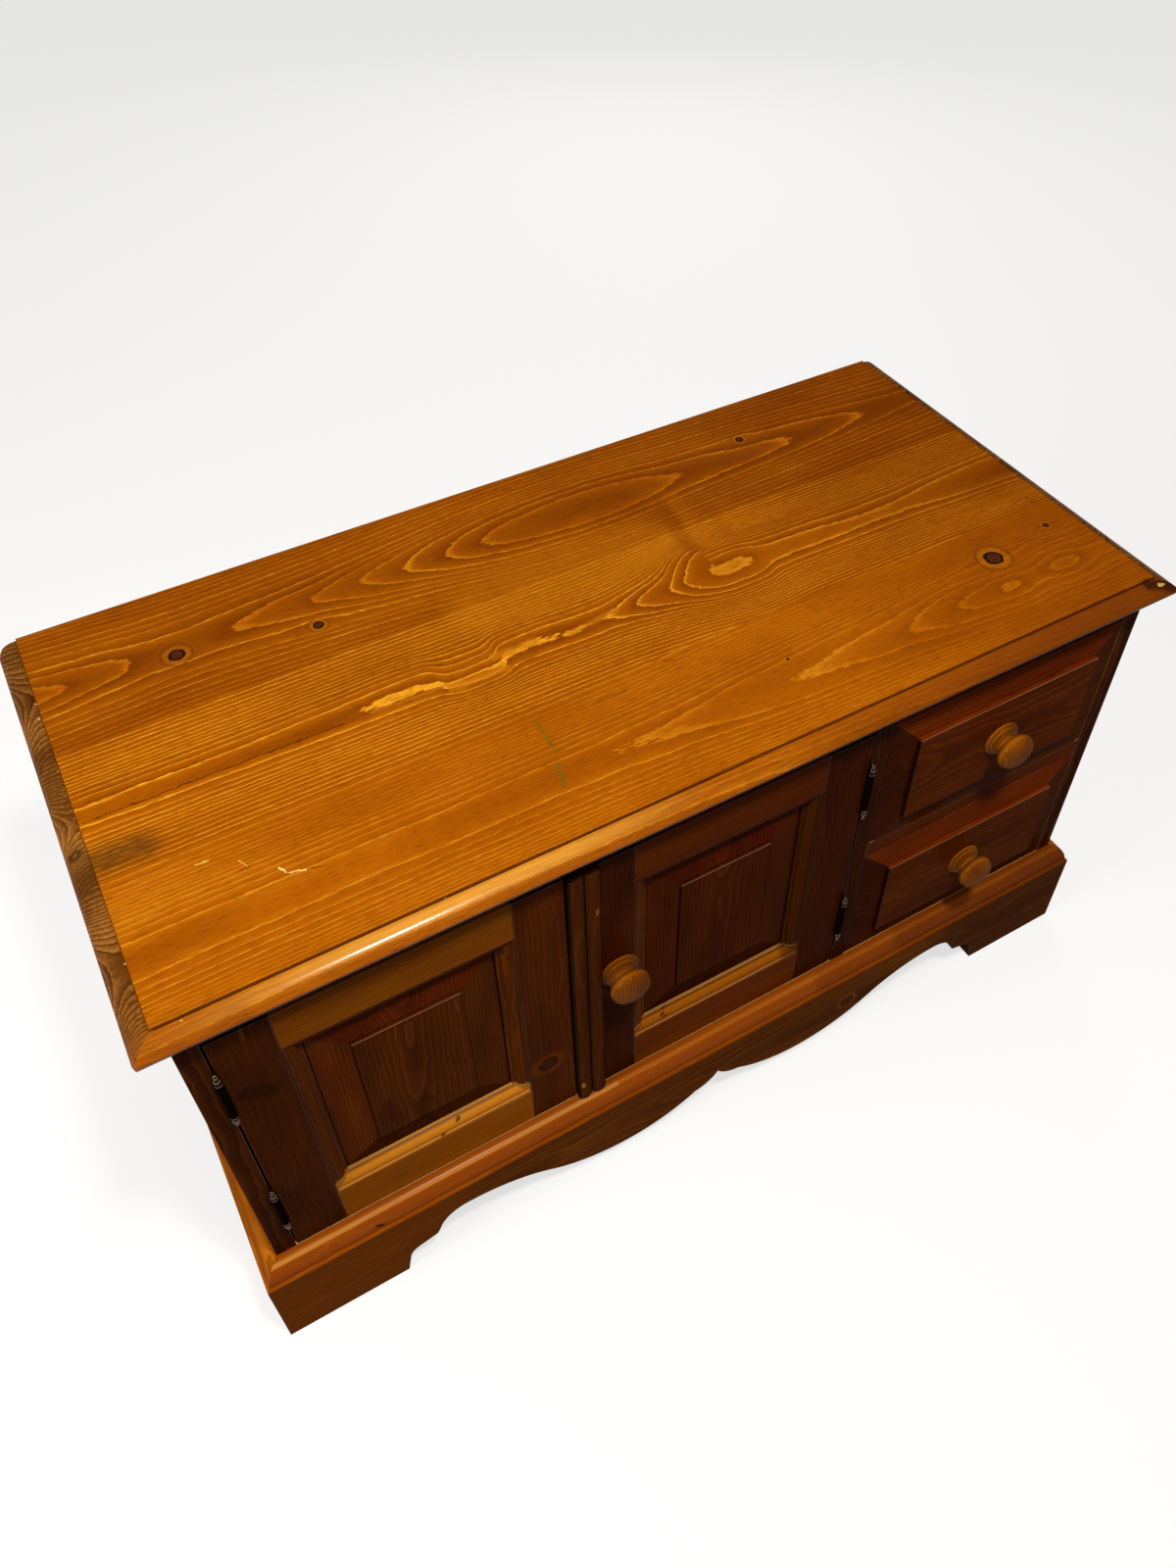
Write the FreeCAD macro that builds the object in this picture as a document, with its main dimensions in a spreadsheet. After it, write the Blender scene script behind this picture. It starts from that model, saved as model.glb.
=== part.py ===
# A low pine chest: a cupboard with two panelled doors beside two drawers, on a scalloped plinth.
# X runs to the right, Y to the back and Z up, in millimetres. The origin is on the floor, in the
# middle of the chest's width and of its depth with the knobs.
import FreeCAD, Part
import os
import Sketcher
from types import SimpleNamespace

Vector = FreeCAD.Vector
Rotation = FreeCAD.Rotation

# ---------------------------------------------------------------- sizes

SIZES = {
    # The case.
    "case_width": 961,
    "case_depth": 460,
    "opening_height": 373,
    "side_thickness": 19,
    "base_thickness": 19,
    "partition_thickness": 19,
    "back_thickness": 10,
    "back_board_gap": 0.6,
    "rail_height": 22,
    "rail_depth": 60,
    "rail_setback": 1,
    "drawer_bay_width": 286.5,
    "divider_height": 19,
    "divider_depth": 70,
    "runner_width": 24,
    # The shelf in the cupboard.
    "shelf_lift": 166,
    "shelf_thickness": 18,
    "shelf_setback": 45,
    "batten_side": 18,
    # The top, with a moulding worked on its front and ends.
    "top_thickness": 20,
    "top_side_overhang": 23.5,
    "top_front_overhang": 17,
    "top_moulding_width": 19,
    "top_quirk": 2.5,
    "top_nose_drop": 11.5,
    "top_under_cut": 6,
    "top_front_corner": 5,
    "top_back_corner": 9,
    # The plinth, with a moulding on its top edge.
    "plinth_height": 134,
    "plinth_thickness": 20,
    "cap_flat": 4,
    "cap_slope": 0.5,
    "cap_shoulder_reach": 13,
    "cap_shoulder_drop": 7,
    "cap_reach": 17,
    "cap_drop": 20,
    "cap_ledge": 2,
    "corner_block_side": 40,
    # The outline cut in the plinth's lower edge, from a foot to the middle.
    "foot_width": 127,
    "foot_lean": 5.5,
    "foot_height": 27,
    "cove_width": 10.3,
    "cove_height": 11.7,
    "ledge_width": 21.7,
    "ledge_rise": 6.8,
    "nick_width": 4,
    "nick_rise": 8.5,
    "arch_width": 31,
    "arch_rise": 23,
    "lobe_offset": 113,
    "lobe_height": 19,
    "cusp_shoulder_offset": 28,
    "cusp_shoulder_height": 44.5,
    "cusp_height": 63.5,
    # The doors.
    "door_thickness": 20,
    "door_gap_below": 2,
    "door_gap_above": 3,
    "hanging_stile": 48.6,
    "left_closing_stile": 47,
    "right_closing_stile": 57.2,
    "door_top_rail": 49,
    "door_bottom_rail": 54.5,
    "groove_setback": 11,
    "groove_width": 5,
    "groove_depth": 10,
    # The raised panels and the mouldings planted round them.
    "tongue_length": 8,
    "field_side_margin": 51,
    "field_end_margin": 48,
    "field_setback": 5,
    "field_step": 2,
    "bead_width": 16,
    "bead_fillet": 2.4,
    "bead_fillet_setback": 0.6,
    "bead_quirk": 1.6,
    "bead_round_reach": 13,
    "bead_round_setback": 8,
    "bead_foot_setback": 8.6,
    # The double bead that covers the joint between the doors.
    "astragal_width": 30,
    "astragal_lap": 9.25,
    "astragal_gap": 1.5,
    "astragal_edge": 5,
    "astragal_groove": 2,
    "astragal_web": 3.5,
    # The butt hinges.
    "low_hinge_inset": 85,
    "high_hinge_inset": 75,
    "leaf_length": 50,
    "leaf_width": 20,
    "leaf_thickness": 1.1,
    "leaf_play": 0.2,
    "knuckle_radius": 3.5,
    "knuckle_play": 0.3,
    "hinge_pin_radius": 1.7,
    "hinge_pin_play": 0.05,
    "finial_collar_radius": 3,
    "finial_collar_length": 2.2,
    "finial_neck_radius": 1.9,
    "finial_neck_length": 1.8,
    "finial_ball_length": 5.6,
    "finial_tip_length": 3.6,
    "hinge_screw_pitch": 17,
    "hinge_screw_inset": 10.5,
    "hinge_screw_length": 14,
    "hinge_screw_radius": 1.3,
    "hinge_screw_head_radius": 2.7,
    # The drawers.
    "drawer_side_gap": 1.5,
    "drawer_edge_gap": 2,
    "drawer_run_play": 0.3,
    "drawer_front_back": 16,
    "drawer_bevel_width": 30,
    "drawer_bevel_rise": 4,
    "drawer_field_rise": 8,
    "drawer_back_clearance": 20,
    "drawer_headroom": 11.7,
    "drawer_side_thickness": 12,
    "drawer_bottom_lift": 10,
    "drawer_bottom_thickness": 6,
    "drawer_groove_depth": 6,
    "drawer_back_drop": 5,
    "stop_side": 22,
    "stop_height": 5,
    "stop_inset": 40,
    # The knobs, turned with a ringed foot, a neck and a domed head, and their screws.
    "knob_radius": 20,
    "knob_reach": 32,
    "knob_crown_radius": 16.5,
    "knob_crown_drop": 4.5,
    "knob_widest_rise": 20.5,
    "knob_lip_radius": 16,
    "knob_lip_rise": 13.8,
    "knob_head_rise": 11.8,
    "knob_neck_radius": 10.5,
    "knob_neck_rise": 9.3,
    "knob_ring_radius": 16,
    "knob_ring_rise": 5.8,
    "knob_quirk_radius": 17,
    "knob_quirk_rise": 3.4,
    "knob_rim_rise": 1.6,
    "door_knob_lift": 194,
    "knob_screw_radius": 2,
    "knob_screw_head_radius": 4.5,
    "knob_screw_head_height": 2.5,
    "knob_screw_grip": 16,
    # The catches that stop and hold the doors.
    "catch_width": 36,
    "catch_height": 14,
    "catch_depth": 16,
    "catch_inset": 6,
    "strike_thickness": 1,
    "strike_play": 0.3,
    # The screws that hold the top down.
    "top_screw_radius": 2.2,
    "top_screw_head_radius": 4.6,
    "top_screw_head_height": 2.6,
    "top_screw_grip": 13,
    "top_screw_inset": 60,
    "screw_play": 0.05,
}

BACK_BOARDS = 5
KNUCKLES = 5

# An arc's bulge is the tangent of a quarter of the angle that it turns.
QUARTER_ROUND = 0.4142
SHALLOW_ROUND = 0.27
FLAT_ROUND = 0.15
LOBE_ROUND = 0.15
ARCH_ROUND = 0.33
CUSP_ROUND = 0.22
NOSE_ROUND = 0.29
ASTRAGAL_ROUND = 0.43

# An arc that is part of a ball: its centre is on the axis that the outline turns about.
BALL = "ball"

doc = FreeCAD.newDocument("pine_chest")
sheet = doc.addObject("Spreadsheet::Sheet", "Sizes")
for row, (alias, value) in enumerate(SIZES.items(), start=1):
    sheet.set(f"A{row}", alias)
    sheet.set(f"B{row}", str(value))
    sheet.setAlias(f"B{row}", alias)
doc.recompute()


class Size:
    """A length: its value now, and the expression on the sheet that an object is bound to."""

    def __init__(self, value, text=None):
        self.value = float(value)
        self.text = text or f"({self.value})"

    def __neg__(self):
        return Size(-self.value, f"(-{self.text})")

    def __add__(self, other):
        other = as_size(other)
        return Size(self.value + other.value, f"({self.text} + {other.text})")

    def __sub__(self, other):
        return self + -as_size(other)

    def __mul__(self, number):
        return Size(self.value * number, f"({self.text} * ({number}))")

    def __truediv__(self, number):
        return Size(self.value / number, f"({self.text} / {number})")

    def __rsub__(self, other):
        return as_size(other) - self

    __radd__ = __add__
    __rmul__ = __mul__


def as_size(length):
    return length if isinstance(length, Size) else Size(length)


S = SimpleNamespace(**{alias: Size(value, f"Sizes.{alias}") for alias, value in SIZES.items()})

# ---------------------------------------------------------------- ways of making a piece


def bind(item, **lengths):
    """Give an object's properties their lengths, and tie them to the sheet."""
    for name, length in lengths.items():
        length = as_size(length)
        setattr(item, name, length.value)
        item.setExpression(name, length.text)


def place(item, x=0, y=0, z=0, rotation=Rotation()):
    """Put an object at a point that follows the sheet."""
    point = [as_size(length) for length in (x, y, z)]
    item.Placement = FreeCAD.Placement(Vector(*(length.value for length in point)), rotation)
    for axis, length in zip("xyz", point):
        item.setExpression(f".Placement.Base.{axis}", length.text)
    return item


def span(one, other):
    """Two lengths with the lower one first."""
    return (one, other) if as_size(one).value < as_size(other).value else (other, one)


def board(label, x, y, z):
    """A square-edged board between pairs of faces."""
    box = doc.addObject("Part::Box", label)
    bind(box, Length=x[1] - x[0], Width=y[1] - y[0], Height=z[1] - z[0])
    return place(box, x[0], y[0], z[0])


def anticlockwise(path):
    """The path drawn the way round that keeps the material on its left."""
    points = [[as_size(length).value for length in step] for step in path
              if isinstance(step, tuple)]
    area = sum(one[0] * two[1] - two[0] * one[1]
               for one, two in zip(points, points[1:] + points[:1]))
    return path if area > 0 else path[::-1]


def crown_of(start, end, bulge):
    """The middle of an arc, as lengths."""
    return ((start[0] + end[0]) / 2 + (end[1] - start[1]) * (bulge / 2),
            (start[1] + end[1]) / 2 - (end[0] - start[0]) * (bulge / 2))


def ball_middle(start, end):
    """The middle of an arc that is centred on the Y axis, as a point."""
    fall = start.y - end.y
    centre = Vector(0, (start.x ** 2 + start.y ** 2 - end.x ** 2 - end.y ** 2) / (2 * fall))
    out = (start + end) * 0.5 - centre
    return centre + out * ((start - centre).Length / out.Length)


def draw(sketch, path):
    """Draw a closed path of points, with a bulge between two points that an arc joins.

    A bulge above 0 swells out of the outline, and one below 0 hollows it.
    """
    path = anticlockwise(path)
    if not isinstance(path[0], tuple):
        path = path[1:] + path[:1]
    corners = [index for index, step in enumerate(path) if isinstance(step, tuple)]
    points = [tuple(as_size(length) for length in path[index]) for index in corners]
    following = points[1:] + points[:1]
    bulges = [0 if isinstance(step, tuple) else step
              for step in (path[(index + 1) % len(path)] for index in corners)]

    def fix(edge, end, point):
        for kind, length in zip(("DistanceX", "DistanceY"), point):
            held = sketch.addConstraint(Sketcher.Constraint(kind, -1, 1, edge, end, length.value))
            sketch.setExpression(f"Constraints[{held}]", length.text)

    starts, ends = [], []
    for start, end, bulge in zip(points, following, bulges):
        first, last = (Vector(point[0].value, point[1].value) for point in (start, end))
        hollow = bulge != BALL and bulge < 0
        if bulge == 0:
            edge = sketch.addGeometry(Part.LineSegment(first, last), False)
        elif bulge == BALL:
            edge = sketch.addGeometry(Part.Arc(first, ball_middle(first, last), last), False)
            sketch.addConstraint(Sketcher.Constraint("PointOnObject", edge, 3, -2))
        else:
            crown = crown_of(start, end, bulge)
            middle = Vector(crown[0].value, crown[1].value)
            edge = sketch.addGeometry(Part.Arc(first, middle, last), False)
            mark = sketch.addGeometry(Part.Point(middle), True)
            fix(mark, 1, crown)
            sketch.addConstraint(Sketcher.Constraint("PointOnObject", mark, 1, edge))
        starts.append((edge, 2 if hollow else 1))
        ends.append((edge, 1 if hollow else 2))
    for start, end, point in zip(starts, ends[-1:] + ends[:-1], points):
        sketch.addConstraint(Sketcher.Constraint("Coincident", *end, *start))
        fix(*start, point)


def mirrored(path, centre=0):
    """The same path on the other side of a centre, drawn the other way round."""
    return [(centre * 2 - step[0], step[1]) if isinstance(step, tuple) else step
            for step in reversed(path)]


def swapped(path):
    """The same path with its two lengths changed over."""
    return [step[::-1] if isinstance(step, tuple) else step for step in path]


# How a sketch stands when its outline is extruded along an axis.
STANCES = {
    "x": (Vector(1, 0, 0), Rotation(Vector(1, 1, 1), 120)),
    "y": (Vector(0, 1, 0), Rotation(Vector(1, 0, 0), 90)),
    "z": (Vector(0, 0, 1), Rotation()),
}


def prism(label, axis, path, ends):
    """An outline extruded along an axis: (y, z) along x, (x, z) along y and (x, y) along z."""
    direction, stance = STANCES[axis]
    sketch = doc.addObject("Sketcher::SketchObject", f"{label}_outline")
    place(sketch, rotation=stance, **{axis: ends[0]})
    draw(sketch, path)
    solid = doc.addObject("Part::Extrusion", label)
    solid.Base = sketch
    solid.DirMode = "Custom"
    solid.Dir = direction
    solid.Solid = True
    bind(solid, LengthFwd=ends[1] - ends[0])
    return solid


def turned(label, path):
    """A turned piece: an outline of (radius, length) spun about its own Y axis."""
    body = doc.addObject("PartDesign::Body", label)
    sketch = body.newObject("Sketcher::SketchObject", f"{label}_outline")
    plane = next(part for part in body.Origin.OriginFeatures if part.Role == "XY_Plane")
    sketch.AttachmentSupport = [(plane, "")]
    sketch.MapMode = "FlatFace"
    draw(sketch, path)
    spin = body.newObject("PartDesign::Revolution", f"{label}_spin")
    spin.Profile = sketch
    spin.ReferenceAxis = (sketch, ["V_Axis"])
    spin.Angle = 360
    return body


def spun(label, sketch):
    """A copy of a small turned piece that shares its outline with others."""
    solid = doc.addObject("Part::Revolution", label)
    solid.Source = sketch
    solid.Axis = Vector(0, 1, 0)
    solid.Angle = 360
    solid.Solid = True
    return solid


def cut(label, base, *tools):
    """A piece with other shapes cut out of it."""
    left = doc.addObject("Part::Cut", label)
    left.Base = base
    left.Tool = tools[0] if len(tools) == 1 else group(f"{label}_cutters", tools)
    return left


def overlap(label, *shapes):
    """What several shapes have in common."""
    shared = doc.addObject("Part::MultiCommon", label)
    shared.Shapes = list(shapes)
    return shared


def joined(label, *shapes):
    """Several shapes as one solid."""
    whole = doc.addObject("Part::MultiFuse", label)
    whole.Shapes = list(shapes)
    whole.Refine = True
    return whole


def group(label, pieces):
    """Separate pieces kept together."""
    bundle = doc.addObject("Part::Compound", label)
    bundle.Links = list(pieces)
    return bundle


nodes = []


def keep(piece):
    """Mark a finished piece as one of the chest's own."""
    nodes.append(piece)
    return piece


# ---------------------------------------------------------------- where things are

front = (S.knob_reach + S.drawer_field_rise - S.case_depth) / 2
back = front + S.case_depth
back_inside = back - S.back_thickness

half_width = S.case_width / 2
right_wall = half_width - S.side_thickness
left_wall = -right_wall
partition_right = right_wall - S.drawer_bay_width
partition_left = partition_right - S.partition_thickness

floor = Size(0)
case_low = S.plinth_height - S.base_thickness
bay_low = S.plinth_height
bay_high = bay_low + S.opening_height
case_high = bay_high + S.rail_height
divider_low = (bay_low + bay_high - S.divider_height) / 2
divider_high = divider_low + S.divider_height

door_low = bay_low + S.door_gap_below
door_high = bay_high - S.door_gap_above
hinge_gap = S.leaf_thickness * 2 + S.leaf_play
right_door_closing_edge = (left_wall + partition_left) / 2
astragal_left = right_door_closing_edge - S.astragal_lap
astragal_right = astragal_left + S.astragal_width
left_door_closing_edge = astragal_left - S.astragal_gap

hinge_heights = {"low": door_low + S.low_hinge_inset, "high": door_high - S.high_hinge_inset}
hinge_axis_y = front - S.knuckle_radius - S.knuckle_play

# ---------------------------------------------------------------- screws


def screw_outline(name, shank, head, head_height, length, countersunk=False):
    """An outline for screws that point along +Y, with the head's outer face at 0."""
    sketch = doc.addObject("Sketcher::SketchObject", name)
    rim = [(head, floor)] if countersunk else [(head, floor), (head, head_height)]
    draw(sketch, [(floor, length), (floor, floor), *rim, (shank, head_height), (shank, length)])
    return sketch


def screw_pair(name, shank, head, head_height, length, countersunk=False):
    """Outlines for a screw and for the hole that it fills."""
    return (screw_outline(f"{name}_outline", shank, head, head_height, length, countersunk),
            screw_outline(f"{name}_hole_outline", shank + S.screw_play, head + S.screw_play,
                          head_height + S.screw_play, length + S.screw_play, countersunk))


POINTING = {
    "+x": Rotation(Vector(0, 0, 1), -90),
    "-x": Rotation(Vector(0, 0, 1), 90),
    "-y": Rotation(Vector(0, 0, 1), 180),
    "+z": Rotation(Vector(1, 0, 0), 90),
}


def screws_and_holes(name, outlines, spots, pointing):
    """Screws at several spots, and the holes for them."""
    made = []
    for outline, kind in zip(outlines, ("screw", "hole")):
        made.append([place(spun(f"{name}_{kind}_{number}", outline), *spot, POINTING[pointing])
                     for number, spot in enumerate(spots, start=1)])
    return made


top_screw_outlines = screw_pair("top_screw", S.top_screw_radius, S.top_screw_head_radius,
                                S.top_screw_head_height, S.rail_height + S.top_screw_grip)
hinge_screw_outlines = screw_pair("hinge_screw", S.hinge_screw_radius, S.hinge_screw_head_radius,
                                  S.leaf_thickness, S.hinge_screw_length, countersunk=True)

# ---------------------------------------------------------------- hinges


def knuckle_span(height, number):
    """The part of a hinge's length that one knuckle takes."""
    pitch = (S.leaf_length + S.knuckle_play) / KNUCKLES
    low = height - S.leaf_length / 2 + pitch * number
    return low, low + pitch - S.knuckle_play


def hinge_leaf(label, axis_x, faces, height, numbers, holes):
    """A leaf between two faces, with the knuckles that have these numbers."""
    plate = board(f"{label}_plate", faces, (front, front + S.leaf_width),
                  (height - S.leaf_length / 2, height + S.leaf_length / 2))
    parts = [plate]
    for number in numbers:
        ends = knuckle_span(height, number)
        parts.append(board(f"{label}_tab_{number}", faces, (hinge_axis_y, front), ends))
        knuckle = doc.addObject("Part::Cylinder", f"{label}_knuckle_{number}")
        bind(knuckle, Radius=S.knuckle_radius, Height=ends[1] - ends[0])
        parts.append(place(knuckle, axis_x, hinge_axis_y, ends[0]))
    bore = doc.addObject("Part::Cylinder", f"{label}_bore")
    bind(bore, Radius=S.hinge_pin_radius + S.hinge_pin_play, Height=S.leaf_length * 2)
    place(bore, axis_x, hinge_axis_y, height - S.leaf_length)
    return cut(label, joined(f"{label}_blank", *parts), bore, *holes)


def hinges(side, wall, inward):
    """A door's two hinges, from the wall that they hang on: leaves, screws and holes."""
    axis_x = wall + (S.leaf_thickness + S.leaf_play / 2) * inward
    frame_face = wall + S.leaf_thickness * inward
    door_face = frame_face + S.leaf_play * inward
    door_edge = wall + hinge_gap * inward
    made = SimpleNamespace(axis_x=axis_x, frame_leaves=[], door_leaves=[], frame_screws=[],
                           frame_holes=[], door_screws=[], door_holes=[])
    for name, height in hinge_heights.items():
        heights = [height + S.hinge_screw_pitch * step for step in (-1, 0, 1)]
        inset = front + S.hinge_screw_inset
        to_wall, to_door = ("-x", "+x") if inward > 0 else ("+x", "-x")
        screws, holes = screws_and_holes(f"{side}_{name}_frame", hinge_screw_outlines,
                                         [(frame_face, inset, spot) for spot in heights], to_wall)
        made.frame_screws += screws
        made.frame_holes += holes
        made.frame_leaves.append(hinge_leaf(f"{side}_{name}_frame_leaf", axis_x,
                                            span(wall, frame_face), height,
                                            range(0, KNUCKLES, 2), holes))
        screws, holes = screws_and_holes(f"{side}_{name}_door", hinge_screw_outlines,
                                         [(door_face, inset, spot) for spot in heights], to_door)
        made.door_screws += screws
        made.door_holes += holes
        made.door_leaves.append(hinge_leaf(f"{side}_{name}_door_leaf", axis_x,
                                           span(door_face, door_edge), height,
                                           range(1, KNUCKLES, 2), holes))
    return made


left_hinges = hinges("left", left_wall, 1)
right_hinges = hinges("right", partition_left, -1)
keep(group("left_hinge_frame_leaves", left_hinges.frame_leaves))
keep(group("right_hinge_frame_leaves", right_hinges.frame_leaves))
keep(group("frame_hinge_screws", left_hinges.frame_screws + right_hinges.frame_screws))

# A pin runs through both leaves and ends in turned finials: a collar, a ball and a tip.
collar_low = S.leaf_length / 2
collar_high = collar_low + S.finial_collar_length
ball_low = collar_high + S.finial_neck_length
ball_high = ball_low + S.finial_ball_length
tip_low = ball_high + S.finial_neck_length
finial = [
    (S.hinge_pin_radius, collar_low),
    (S.finial_collar_radius, collar_low),
    QUARTER_ROUND,
    (S.finial_collar_radius, collar_high),
    (S.finial_neck_radius, collar_high),
    (S.finial_neck_radius, ball_low),
    BALL,
    (S.finial_neck_radius, ball_high),
    (S.finial_neck_radius, tip_low),
    BALL,
    (floor, tip_low + S.finial_tip_length),
]
pin_outline = doc.addObject("Sketcher::SketchObject", "hinge_pin_outline")
draw(pin_outline, [*finial, *swapped(mirrored(swapped(finial)))])
for side, hinge_set in (("left", left_hinges), ("right", right_hinges)):
    pins = [place(spun(f"{side}_{name}_pin", pin_outline), hinge_set.axis_x, hinge_axis_y, height,
                  POINTING["+z"])
            for name, height in hinge_heights.items()]
    keep(group(f"{side}_hinge_pins", pins))

# ---------------------------------------------------------------- the case

case_z = (case_low, case_high)
keep(cut("left_side", board("left_side_board", (-half_width, left_wall), (front, back), case_z),
         *left_hinges.frame_holes))
keep(board("right_side", (right_wall, half_width), (front, back), case_z))
keep(board("base_board", (left_wall, right_wall), (front, back_inside), (case_low, bay_low)))
keep(cut("partition",
         board("partition_board", (partition_left, partition_right), (front, back_inside),
               (bay_low, bay_high)),
         *right_hinges.frame_holes))

front_rail_y = (front + S.rail_setback, front + S.rail_setback + S.rail_depth)
back_rail_y = (back_inside - S.rail_depth, back_inside)
top_screws, top_screw_holes = [], []
for name, rail_y in (("front", front_rail_y), ("back", back_rail_y)):
    row = (rail_y[0] + rail_y[1]) / 2
    spots = [(left_wall + S.top_screw_inset, row, bay_high), (floor, row, bay_high),
             (right_wall - S.top_screw_inset, row, bay_high)]
    screws, holes = screws_and_holes(f"{name}_rail_top", top_screw_outlines, spots, "+z")
    top_screws += screws
    top_screw_holes += holes
    keep(cut(f"{name}_top_rail",
             board(f"{name}_top_rail_board", (left_wall, right_wall), rail_y,
                   (bay_high, case_high)),
             *holes))
keep(group("top_fixing_screws", top_screws))

back_board_pitch = (right_wall - left_wall + S.back_board_gap) / BACK_BOARDS
back_boards = []
for number in range(BACK_BOARDS):
    low_x = left_wall + back_board_pitch * number
    back_boards.append(board(f"back_board_{number + 1}",
                             (low_x, low_x + back_board_pitch - S.back_board_gap),
                             (back_inside, back), case_z))
keep(group("back_boards", back_boards))

keep(board("drawer_divider", (partition_right, right_wall), (front, front + S.divider_depth),
           (divider_low, divider_high)))
runner_y = (front + S.divider_depth, back_inside)
keep(group("drawer_runners", [
    board("left_runner", (partition_right, partition_right + S.runner_width), runner_y,
          (divider_low, divider_high)),
    board("right_runner", (right_wall - S.runner_width, right_wall), runner_y,
          (divider_low, divider_high)),
]))

# The stops stand behind the lower edge of each drawer front.
stop_low = front + S.drawer_front_back + S.drawer_run_play
stops = []
for name, level in (("lower", bay_low), ("upper", divider_high)):
    for side, low_x in (("left", partition_right + S.stop_inset),
                        ("right", right_wall - S.stop_inset - S.stop_side)):
        stops.append(board(f"{name}_{side}_stop", (low_x, low_x + S.stop_side),
                           (stop_low, stop_low + S.stop_side), (level, level + S.stop_height)))
keep(group("drawer_stops", stops))

shelf_y = (front + S.shelf_setback, back_inside)
shelf_low = bay_low + S.shelf_lift
keep(board("shelf", (left_wall, partition_left), shelf_y,
           (shelf_low, shelf_low + S.shelf_thickness)))
batten_z = (shelf_low - S.batten_side, shelf_low)
keep(group("shelf_battens", [
    board("left_batten", (left_wall, left_wall + S.batten_side), shelf_y, batten_z),
    board("right_batten", (partition_left - S.batten_side, partition_left), shelf_y, batten_z),
]))

# ---------------------------------------------------------------- the top

top_high = case_high + S.top_thickness
top_edge_front = front - S.top_front_overhang
top_edge_right = half_width + S.top_side_overhang


def top_moulding(edge):
    """The moulded edge seen in section, from the flat of the top down to its underside."""
    quirk = edge + S.top_moulding_width
    return [
        (quirk, top_high),
        (quirk, top_high - S.top_quirk),
        SHALLOW_ROUND,
        (edge, top_high - S.top_nose_drop),
        NOSE_ROUND,
        (edge + S.top_under_cut, case_high),
    ]


top_plan = [
    (-top_edge_right + S.top_front_corner, top_edge_front),
    (top_edge_right - S.top_front_corner, top_edge_front),
    QUARTER_ROUND,
    (top_edge_right, top_edge_front + S.top_front_corner),
    (top_edge_right, back - S.top_back_corner),
    QUARTER_ROUND,
    (top_edge_right - S.top_back_corner, back),
    (-top_edge_right + S.top_back_corner, back),
    QUARTER_ROUND,
    (-top_edge_right, back - S.top_back_corner),
    (-top_edge_right, top_edge_front + S.top_front_corner),
    QUARTER_ROUND,
]
left_moulding = top_moulding(-top_edge_right)
top_blank = overlap(
    "top_blank",
    prism("top_length", "x", [(back, case_high), (back, top_high), *top_moulding(top_edge_front)],
          (-top_edge_right, top_edge_right)),
    prism("top_depth", "y", [*left_moulding, *mirrored(left_moulding)], (top_edge_front, back)),
    prism("top_plan", "z", top_plan, (case_high, top_high)),
)
keep(cut("top_panel", top_blank, *top_screw_holes))

# ---------------------------------------------------------------- the plinth

plinth_front = front - S.plinth_thickness
plinth_right = half_width + S.plinth_thickness


def plinth_section(inner):
    """A plinth board in section, with its face on the lower side of `inner`."""
    return [
        (inner, floor),
        (inner, S.plinth_height),
        (inner - S.cap_flat, S.plinth_height - S.cap_slope),
        SHALLOW_ROUND,
        (inner - S.cap_shoulder_reach, S.plinth_height - S.cap_shoulder_drop),
        FLAT_ROUND,
        (inner - S.cap_reach, S.plinth_height - S.cap_drop),
        (inner - S.plinth_thickness, S.plinth_height - S.cap_drop - S.cap_ledge),
        (inner - S.plinth_thickness, floor),
    ]


def foot_outline(corner):
    """The lower edge from beside a foot, at the lower end, to the top of the arch."""
    foot = corner + S.foot_width
    lean = foot + S.foot_lean
    cove = lean + S.cove_width
    ledge = cove + S.ledge_width
    nick = ledge + S.nick_width
    cove_top = S.foot_height + S.cove_height
    ledge_top = cove_top + S.ledge_rise
    nick_top = ledge_top + S.nick_rise
    return [
        (foot, floor),
        (lean, S.foot_height),
        -SHALLOW_ROUND,
        (cove, cove_top),
        (ledge, ledge_top),
        (nick, nick_top),
        -ARCH_ROUND,
        (nick + S.arch_width, nick_top + S.arch_rise),
    ]


left_foot = foot_outline(-plinth_right)
arch_x, arch_z = left_foot[-1]
left_scallop = [
    *left_foot,
    -LOBE_ROUND,
    ((arch_x - S.lobe_offset) / 2, (arch_z + S.lobe_height) / 2),
    LOBE_ROUND,
    (-S.lobe_offset, S.lobe_height),
    LOBE_ROUND,
    (-S.cusp_shoulder_offset, S.cusp_shoulder_height),
    CUSP_ROUND,
]
scalloped_outline = [
    (plinth_right, floor),
    (plinth_right, S.plinth_height),
    (-plinth_right, S.plinth_height),
    (-plinth_right, floor),
    *left_scallop,
    (floor, S.cusp_height),
    *mirrored(left_scallop),
]
keep(overlap(
    "plinth_front",
    prism("plinth_front_section", "x", plinth_section(front), (-plinth_right, plinth_right)),
    prism("plinth_front_outline", "y", scalloped_outline, (plinth_front, front)),
    prism("plinth_front_mitres", "z",
          [(-plinth_right, plinth_front), (plinth_right, plinth_front), (half_width, front),
           (-half_width, front)],
          (floor, S.plinth_height)),
))

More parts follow.
